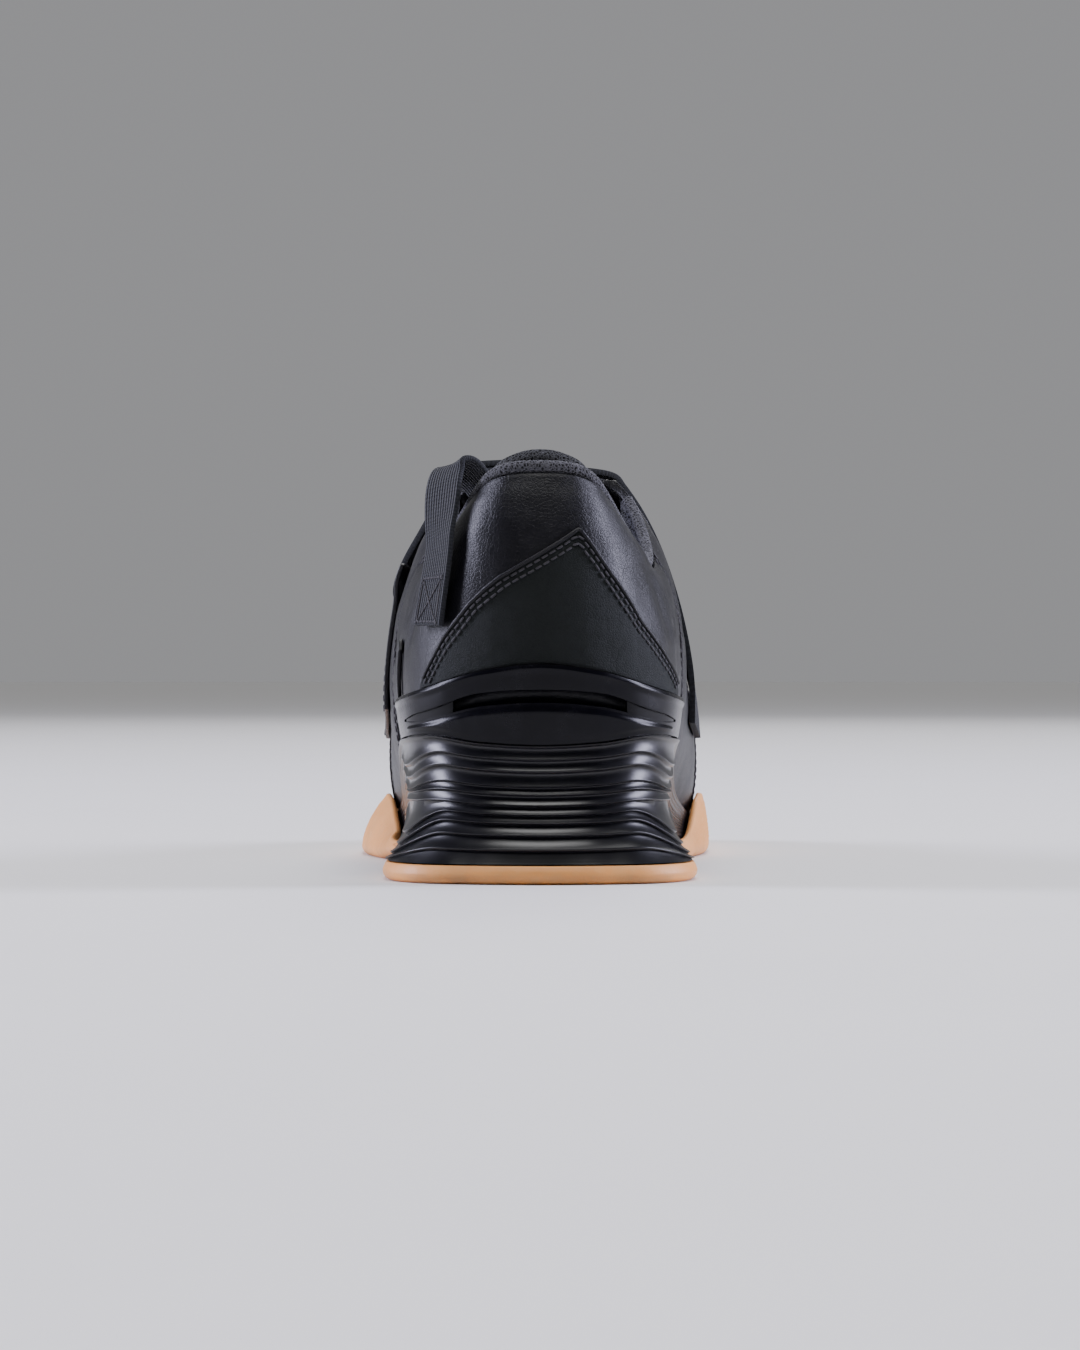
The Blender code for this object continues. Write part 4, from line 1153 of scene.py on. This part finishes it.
def patchEdgeLine(inset):  # the patch's pointed top edge, moved in by a distance
    steps, window = patch["steps"], patch["window"]
    halves = []
    for first, last in ((patchFirst, patchApex), (patchApex, patchLast)):
        rings = [first + (last - first) * i / steps for i in range(steps + 1)]
        spots = [shellPoint(round(ring, 9), 0.5) for ring in rings]
        length = sum((b - a).length for a, b in zip(spots, spots[1:]))
        run = length / (last - first)  # metres to one unit of ring
        half = []
        for i, ring in enumerate(rings):
            before, after = rings[max(i - window, 0)], rings[min(i + window, steps)]
            slope = (patchTop(after) - patchTop(before)) / ((after - before) * run)
            long = math.sqrt(1 + slope * slope)
            half.append((ring + inset * slope / long / run, patchTop(ring) - inset / long))
        halves.append(half)
    line = [place for place in halves[0] if place[0] < patchApex]
    line += [place for place in halves[1] if place[0] > patchApex]
    pairs = []
    for ring, z in line:
        inside = patchFirst + patch["endClear"] < ring < patchLast - patch["endClear"]
        if inside and z > clipTop(ring) + patch["clear"]:
            rise = riseAt(round(ring, 9), round(z, 7))
            proud = gap + patch["thick"] + patch["stitchUp"]
            pairs.append((upperPoint(ring, rise, proud), shellNormal(ring, rise)))
    return pairs


patchEdge = [pair[0] for pair in patchEdgeLine(0.0)]


def patchSpot(u, v):
    if u <= 0.5:
        ring = round(patchFirst + (patchApex - patchFirst) * u * 2, 9)
    else:
        ring = round(patchApex + (patchLast - patchApex) * (u * 2 - 1), 9)
    bottom = clipTop(ring) + gap
    z = bottom + (patchTop(ring) - bottom) * (1 - (1 - v) ** patch["lean"])
    rise = riseAt(ring, round(z, 8))
    spot = upperPoint(ring, rise, gap)
    away = nearest(patchEdge, spot)[0]
    lift = patch["rim"] * (1 - smoothStep(patch["rimWidth"] * 0.6, patch["rimWidth"] * 1.6, away))
    lift += patch["relief"] * noise.noise(spot * patch["reliefScale"])
    return spot + shellNormal(ring, rise) * lift


counterPatch = gridPiece("counterPatch", patch["columns"] * 2, patch["rows"], patchSpot)
thicken(counterPatch, patch["thick"], 1, patch["edge"])
dress(counterPatch, finishes["patch"], ["counter_patch"], 50)
rim = patchEdgeLine(patch["cordIn"])
rimPath, rimUps = [spot + up * patch["cordUp"] for spot, up in rim], [up for _, up in rim]
patchRim = cordPiece("patchRim", rimPath, lambda share: patch["cord"], 8, rimUps)
dress(patchRim, finishes["trim"], [], 60)
patchRows = [patchEdgeLine(inset) for inset in patch["stitchIn"]]
stitchRows("patchStitches", patchRows, "matte_leather", *patch["stitch"])


print("collar binding")
binding = {
    "radius": 0.0017, "end": 0.47, "pitch": 0.0016, "swell": 0.00010,
    "samples": 420, "below": 0.97, "perRib": 6,
}
path = []
for i in range(-binding["samples"], binding["samples"] + 1):
    ring = i / binding["samples"] * binding["end"]
    top = upperPoint(ring, 1, -shoe["wall"] / 2)
    up = (top - upperPoint(ring, binding["below"], -shoe["wall"] / 2)).normalized()
    path.append((top + up * (binding["radius"] + 2 * gap), up))
path = evenPath(path, binding["pitch"] / binding["perRib"])


def bindingSize(share):
    swell = abs(math.sin(share * (len(path) - 1) / binding["perRib"] * math.pi)) - 0.6
    size = binding["radius"] + binding["swell"] * swell
    return size, size


piping = cordPiece("collarPiping", [spot for spot, _ in path], bindingSize, 12, [up for _, up in path])
dress(piping, makeMesh("pipingKnit", (0.002, 0.002, 0.003), (0.095, 0.094, 0.106), 1150.0, 0.0003),
      ["collar_binding"], 70)


def smoothRows(rows, count):  # rows of numbers read as one smooth curve at count + 1 even places
    made = []
    for i in range(count + 1):
        at = i / count * (len(rows) - 1)
        k = min(int(at), len(rows) - 2)
        t = at - k
        a, b, c, d = rows[max(k - 1, 0)], rows[k], rows[k + 1], rows[min(k + 2, len(rows) - 1)]
        made.append([
            (2 * q + (r - p) * t + (2 * p - 5 * q + 4 * r - s) * t * t + (3 * q - p - 3 * r + s) * t**3) / 2
            for p, q, r, s in zip(a, b, c, d)
        ])
    return made


print("pull loop")
loop = {
    "width": 0.0140, "thick": 0.0016, "steps": 90, "across": 14, "edge": 0.0004, "smoothing": 4,
    "turn": 0.35, "turnRise": (0.80, 0.98), "turnProud": (-0.30, 0.10),  # the loop faces back near its top
    "box": (2, 17), "boxHalf": 0.36, "stitch": (0.0022, 0.8),
    # ring, rise, how far the tape stands out and up, in shares of its width, and its front edge's tilt
    "run": (
        (-0.128, 0.510, 0.17, 0.00, 0.00), (-0.130, 0.590, 0.17, 0.00, 0.05),
        (-0.133, 0.690, 0.19, 0.00, 0.15), (-0.137, 0.800, 0.26, 0.00, 0.25),
        (-0.143, 0.900, 0.38, 0.06, 0.35), (-0.149, 0.985, 0.46, 0.36, 0.35),
        (-0.154, 1.000, 0.30, 0.68, 0.25), (-0.157, 1.000, -0.10, 0.76, 0.10),
        (-0.159, 1.000, -0.54, 0.50, 0.00), (-0.160, 0.940, -0.58, 0.00, 0.00),
        (-0.160, 0.850, -0.44, 0.00, 0.00),
    ),
}


def loopRow(ring, rise, proud, lift, tilt):
    spot = upperPoint(ring, rise, proud * loop["width"]) + Vector((0, 0, lift * loop["width"]))
    across = (shellPoint(ring - ringStep, rise) - shellPoint(ring + ringStep, rise)).normalized()
    turned = loop["turn"] * smoothStep(*loop["turnRise"], rise) * smoothStep(*loop["turnProud"], proud)
    return spot, across + Vector((-turned, 0, tilt))


loopPath = [
    loopRow(ring, min(rise, 1.0), proud, lift, tilt)
    for ring, rise, proud, lift, tilt in smoothRows(loop["run"], loop["steps"])
]
for _ in range(loop["smoothing"]):
    loopPath = [loopPath[0]] + [
        ((before[0] + here[0] * 2 + after[0]) / 4, here[1])
        for before, here, after in zip(loopPath, loopPath[1:], loopPath[2:])
    ] + [loopPath[-1]]


def tapeFrame(path, i):
    spot, across = path[i]
    ahead = heading(path, i)
    side = (across - ahead * (across.dot(ahead) / ahead.length_squared)).normalized()
    return spot, side, side.cross(ahead).normalized()


def loopSpot(u, v):
    spot, side, up = tapeFrame(loopPath, round(v * loop["steps"]))
    return spot + side * (u - 0.5) * loop["width"] - up * (loop["thick"] / 2)


loopTape = gridPiece("loopTape", loop["across"], loop["steps"], loopSpot)
thicken(loopTape, loop["thick"], 1, loop["edge"])
webFinish = makeWebbing("loopWebbing", (0.002, 0.0022, 0.0034), (0.034, 0.036, 0.046), 13, 90, 0.0005)
dress(loopTape, webFinish, ["pull_loop"], 60)


def boxOnTape(path, first, last, half, thick):  # a stitched box with its cross, on a tape's outer face
    def at(i, reach):
        spot, side, up = tapeFrame(path, i)
        return spot + side * reach - up * (thick / 2 + threadProud), -up

    ring = [at(i, -half) for i in range(first, last + 1)] + [at(last, half)]
    ring += [at(i, half) for i in range(last - 1, first - 1, -1)] + [at(first, -half)]
    count = last - first
    crossing = [at(first + i, -half + 2 * half * i / count) for i in range(count + 1)]
    back = [at(first + i, half - 2 * half * i / count) for i in range(count + 1)]
    return [ring, crossing, back]


loopBoxes = boxOnTape(loopPath, *loop["box"], loop["width"] * loop["boxHalf"], loop["thick"])
stitchRows("loopStitches", loopBoxes, "webbing", *loop["stitch"])


print("midfoot strap")
strap = {
    "thick": 0.0018, "crown": 0.0038, "lines": (0.568, 0.592, 0.616, 0.640), "steps": 230, "across": 18,
    "edge": 0.0005, "box": (198, 226), "boxSides": (2, 16), "boxOver": 2, "stitch": (0.0028, 0.9),
    # sweep over the foot, and how far it stands out, in shares of its thickness
    "run": (
        (2.72, 0.80), (2.58, 0.85), (2.42, 1.00), (2.27, 1.70), (2.15, 2.60), (2.05, 3.40), (2.00, 3.45),
        (1.75, 2.30), (1.50, 2.00), (1.25, 2.30), (1.00, 3.45), (0.94, 3.20), (0.86, 2.20), (0.78, 1.15),
        (0.70, 0.90), (0.645, 0.95), (0.622, 1.45), (0.616, 2.20), (0.630, 2.95), (0.665, 3.45),
        (0.72, 3.60), (0.80, 3.60), (0.88, 4.20), (0.95, 5.10), (1.02, 5.50), (1.25, 4.20), (1.50, 3.80),
        (1.72, 4.00),
    ),
}
strapGrid = [
    [overPoint(line, sweep, proud * strap["thick"], strap["crown"]) for line in strap["lines"]]
    for sweep, proud in strap["run"]
]
strapRuns = [smoothRows([list(spot) for spot in line], strap["steps"]) for line in zip(*strapGrid)]
strapSpots = [
    [Vector(row) for row in smoothRows([run[i] for run in strapRuns], strap["across"])]
    for i in range(strap["steps"] + 1)
]


def strapFrame(i, k):
    along = strapSpots[min(i + 1, strap["steps"])][k] - strapSpots[max(i - 1, 0)][k]
    return strapSpots[i][k], along.cross(heading(strapSpots[i], k)).normalized()


def strapSpot(u, v):
    spot, up = strapFrame(round(v * strap["steps"]), round(u * strap["across"]))
    return spot - up * strap["thick"] / 2


strapTape = gridPiece("strapTape", strap["across"], strap["steps"], strapSpot)
thicken(strapTape, strap["thick"], -1, strap["edge"], even=False)
strapFinish = makeWebbing("strapWebbing", (0.002, 0.0022, 0.0034), (0.026, 0.028, 0.036), 19, 260, 0.0004)
dress(strapTape, strapFinish, ["midfoot_strap"], 60)


def onStrap(i, k):
    spot, up = strapFrame(i, k)
    return spot + up * (strap["thick"] / 2 + threadProud), up


ends, sides, over = strap["box"], strap["boxSides"], strap["boxOver"]
strapRows = [[onStrap(i, k) for i in range(ends[0] - over, ends[1] + over + 1)] for k in sides]
strapRows += [[onStrap(i, k) for k in range(sides[0], sides[1] + 1)] for i in ends]
stitchRows("strapStitches", strapRows, "webbing", *strap["stitch"])


print("strap tab")
tab = {
    "thick": 0.0014, "first": 18 / stationCount, "last": 23 / stationCount, "columns": 60, "edge": 0.0004,
    "rows": ((0.30, 0.35), (0.45, 0.35), (0.585, 0.90), (0.655, 2.10), (0.700, 2.20)),
    "perRow": 8, "slotRow": 2, "slotColumns": (0.2, 0.8), "seamSteps": 12, "seamProud": 1.38,
    "seams": (((-0.545, 0.31), (-0.545, 0.57)), ((-0.660, 0.31), (-0.660, 0.57)),
              ((-0.545, 0.56), (-0.660, 0.56))),
}
tabRows = smoothRows(tab["rows"], tab["perRow"] * 4)


def tabSpot(u, v):
    ring = round(-(tab["first"] + (tab["last"] - tab["first"]) * (1 - u)), 9)
    rise, proud = tabRows[round(v * tab["perRow"] * 4)]
    return upperPoint(ring, rise, proud * tab["thick"])


def inTabSlot(index):
    column, row = index % tab["columns"], index // tab["columns"]
    inside = tab["slotColumns"][0] <= column / tab["columns"] < tab["slotColumns"][1]
    return inside and row // tab["perRow"] == tab["slotRow"]


tabPlate = gridPiece("tabPlate", tab["columns"], tab["perRow"] * 4, tabSpot)
cutFaces(tabPlate, inTabSlot)
thicken(tabPlate, tab["thick"], 1, tab["edge"])
dress(tabPlate, finishes["trim"], ["strap_tab"], 50)
tabSeams = [alongShell(line, tab["seamSteps"], tab["thick"] * tab["seamProud"]) for line in tab["seams"]]
stitchRows("tabStitches", tabSeams, "leather")


print("eyestay and lace")
stay = {
    "thick": 0.0012, "low": 0.83, "top": 0.985, "first": 18 / stationCount, "columns": 190, "rows": 12,
    "edge": 0.00035, "seams": (0.848, 0.862), "seamFrom": 0.535, "seamLong": 0.93, "seamSteps": 160,
}


def staySpot(u, v):
    ring = round(-(stay["first"] + (2 - 2 * stay["first"]) * (1 - u)), 9)
    return upperPoint(ring, stay["low"] + (stay["top"] - stay["low"]) * v, gap)


eyestay = gridPiece("eyestayBand", stay["columns"], stay["rows"], staySpot)
thicken(eyestay, stay["thick"], 1, stay["edge"])
dress(eyestay, finishes["trim"], ["eyestay"], 50)
stayProud = gap + stay["thick"] + threadProud
stayRings = [
    -stay["seamFrom"] - i / stay["seamSteps"] * stay["seamLong"] for i in range(stay["seamSteps"] + 1)]
stayRows = [
    [(upperPoint(ring, rise, stayProud), shellNormal(ring, rise)) for ring in stayRings]
    for rise in stay["seams"]
]
stitchRows("eyestayStitches", stayRows, "leather")

lace = {
    "stations": (0.575, 0.63, 0.685, 0.74, 0.795), "radius": 0.0014, "crown": 0.0010, "steps": 60,
    "sweeps": (0.945, 0.98, 1.15, 1.5, 1.85, 2.02, 2.055), "half": (0.0022, 0.0011),
    "dips": (0.0011, 0.0007, 0.0003),  # each end goes down into its eyelet
    "eyelet": 0.0024, "rim": 0.00045, "eyeletUp": 0.0002, "upRise": 0.97,
}
laceProud = stay["thick"] + 2 * gap + lace["radius"]
laceParts = []
for number, station in enumerate(lace["stations"]):
    rows = [list(overPoint(station, sweep, laceProud, lace["crown"])) for sweep in lace["sweeps"]]
    run = [Vector(row) for row in smoothRows(rows, lace["steps"])]
    left, right = (shellNormal(side * station, lace["upRise"]) for side in (-1, 1))
    ups = [left.lerp(right, i / lace["steps"]).normalized() for i in range(lace["steps"] + 1)]
    for i, dip in enumerate(lace["dips"]):
        run[i] -= ups[i] * dip
        run[-1 - i] -= ups[-1 - i] * dip
    laceParts.append(cordPiece(f"lacePart{number}", run, lambda share: lace["half"], 12, ups))
laceRun = joinInto("laceRun", laceParts)
dress(laceRun, makeWebbing("laceWeave", (0.003, 0.003, 0.004), (0.026, 0.025, 0.030), 70, 6, 0.0003),
      [f"lace_bar_{number}" for number in range(1, 6)], 60)

startClean()
bpy.ops.mesh.primitive_torus_add(
    major_radius=lace["eyelet"], minor_radius=lace["rim"], major_segments=24, minor_segments=8)
eyelets = bpy.context.object
eyeletFrames = []
for station in lace["stations"]:
    for ring in (-station, station):
        spot = upperPoint(ring, lace["sweeps"][0], gap + stay["thick"] + lace["eyeletUp"])
        turn = shellNormal(ring, lace["sweeps"][0]).to_track_quat("Z", "Y").to_matrix()
        eyeletFrames.append((spot, *turn.transposed()))
dress(copyTo(eyelets, "eyelets", eyeletFrames), finishes["plastic"])


print("tongue")
tongue = {
    "thick": 0.0040, "proud": 0.0105, "crown": 0.0030, "taper": 0.18, "arch": 2.5,
    "sweeps": (0.88, 0.94, 1.0, 1.25, 1.5, 1.75, 2.0, 2.06, 2.12),
    "stations": [k / stationCount for k in range(31, 18, -1)],
    "lifts": (0.0, 0.35, 0.7, 1.0), "up": (0, -0.45, 0.89),
    "across": 44, "along": 84, "swell": 0.35, "swellFrom": (0.6, 0.9),
    # one column's width and one row's length, and how far in the sides and ends are rounded
    "column": 0.0016, "row": 0.0012, "sideRound": 0.0022, "endRound": 0.0020,
}
tongueColumns = len(tongue["sweeps"])
tongueRows = len(tongue["stations"]) + len(tongue["lifts"]) - 1


def tongueSpot(column, row, inner):  # the solid's own corner points; inner 1 is the face towards the foot
    proud = -(shoe["wall"] + 3 * gap) - inner * tongue["thick"]
    stations, lifts = tongue["stations"], tongue["lifts"]
    station, sweep = stations[min(row, len(stations) - 1)], tongue["sweeps"][column]
    spot = overPoint(station, sweep, proud, tongue["crown"])
    if row >= len(stations):
        raised = lifts[row - len(stations) + 1]
        side = abs(column - tongueColumns // 2) / (tongueColumns // 2)
        middle = overPoint(station, 1.5, proud, tongue["crown"])
        spot.x += (middle.x - spot.x) * tongue["taper"] * raised
        spot += Vector(tongue["up"]) * tongue["proud"] * raised * (1 - side ** tongue["arch"])
    return spot


def tongueSheet(inner):  # one face of the tongue as a smooth grid of points
    rows = [
        [list(tongueSpot(column, row, inner)) for row in range(tongueRows)]
        for column in range(tongueColumns)
    ]
    lines = [smoothRows(row, tongue["along"]) for row in rows]
    return [
        [Vector(spot) for spot in smoothRows([line[i] for line in lines], tongue["across"])]
        for i in range(tongue["along"] + 1)
    ]


outerSheet, innerSheet = tongueSheet(0), tongueSheet(1)


def tongueLoop(u, v):  # round the tongue's section: out over the top face and back under it
    i = round(v * tongue["along"])
    turn = u * 2
    share = turn if turn <= 1 else 2 - turn
    k = round(share * tongue["across"])
    high, low = outerSheet[i][k], innerSheet[i][k]
    middle = (high + low) / 2
    rim = min(share, 1 - share) * tongue["across"] * tongue["column"]
    end = min(v, 1 - v) * tongue["along"] * tongue["row"]
    close = 1.0
    for reach, rounded in ((rim, tongue["sideRound"]), (end, tongue["endRound"])):
        close *= math.sqrt(1 - (1 - min(1.0, reach / rounded)) ** 2)
    swell = 1 + tongue["swell"] * math.sin(math.pi * share) * smoothStep(*tongue["swellFrom"], v)
    face = low if turn > 1 else high
    return middle + (face - middle) * close * (swell if turn > 1 else 1)


tonguePad = gridPiece("tonguePad", tongue["across"] * 2, tongue["along"], tongueLoop)
sewUp(tonguePad)
tongueFinish = makeMesh("tongueMesh", (0.0018, 0.0018, 0.0026), (0.060, 0.061, 0.067), 1000.0, 0.0006)
dress(tonguePad, tongueFinish, ["tongue"], 70)


print("collar lining")
lining = {
    "end": 0.50, "low": 0.60, "high": 0.992, "thick": 0.0052, "columns": 220, "around": 44, "clear": 0.0005,
    "outer": 0.0002, "crown": 0.55, "endCurve": 14, "quilt": 0.05, "quilts": 60,
    "fuller": 1.2, "fullFrom": (0.30, 0.45),
    "press": 0.6, "pressAt": -0.158, "pressHalf": 0.035,  # the pull loop is sewn over it here
}


def liningSpot(u, v):  # round the lining's section: up its outer face, over, and down its crowned inner face
    ring = round((2 * u - 1) * lining["end"], 9)
    climb = v * 2 if v <= 0.5 else 2 - v * 2
    rise = lining["low"] + (lining["high"] - lining["low"]) * climb
    crown = math.sin(math.pi * climb) ** lining["crown"] if 0 < climb < 1 else 0.0
    deep = lining["outer"] * crown
    if v > 0.5:
        fullness = 1 + lining["fuller"] * smoothStep(*lining["fullFrom"], abs(ring))
        ends = math.sqrt(max(0.0, 1 - abs(2 * u - 1) ** lining["endCurve"]))
        quilt = 1 - lining["quilt"] * abs(math.sin(ring * lining["quilts"]))
        pressed = 1 - lining["press"] * math.exp(-(((ring - lining["pressAt"]) / lining["pressHalf"]) ** 4))
        deep = lining["thick"] * crown * fullness * ends * quilt * pressed
    return upperPoint(ring, rise, -(shoe["wall"] + lining["clear"]) - deep)


collarLining = gridPiece("collarLining", lining["columns"], lining["around"], liningSpot)
sewUp(collarLining)
liningFinish = makeMesh("liningMesh", (0.002, 0.002, 0.003), (0.085, 0.085, 0.100), 950.0, 0.0005)
dress(collarLining, liningFinish, [], 70)
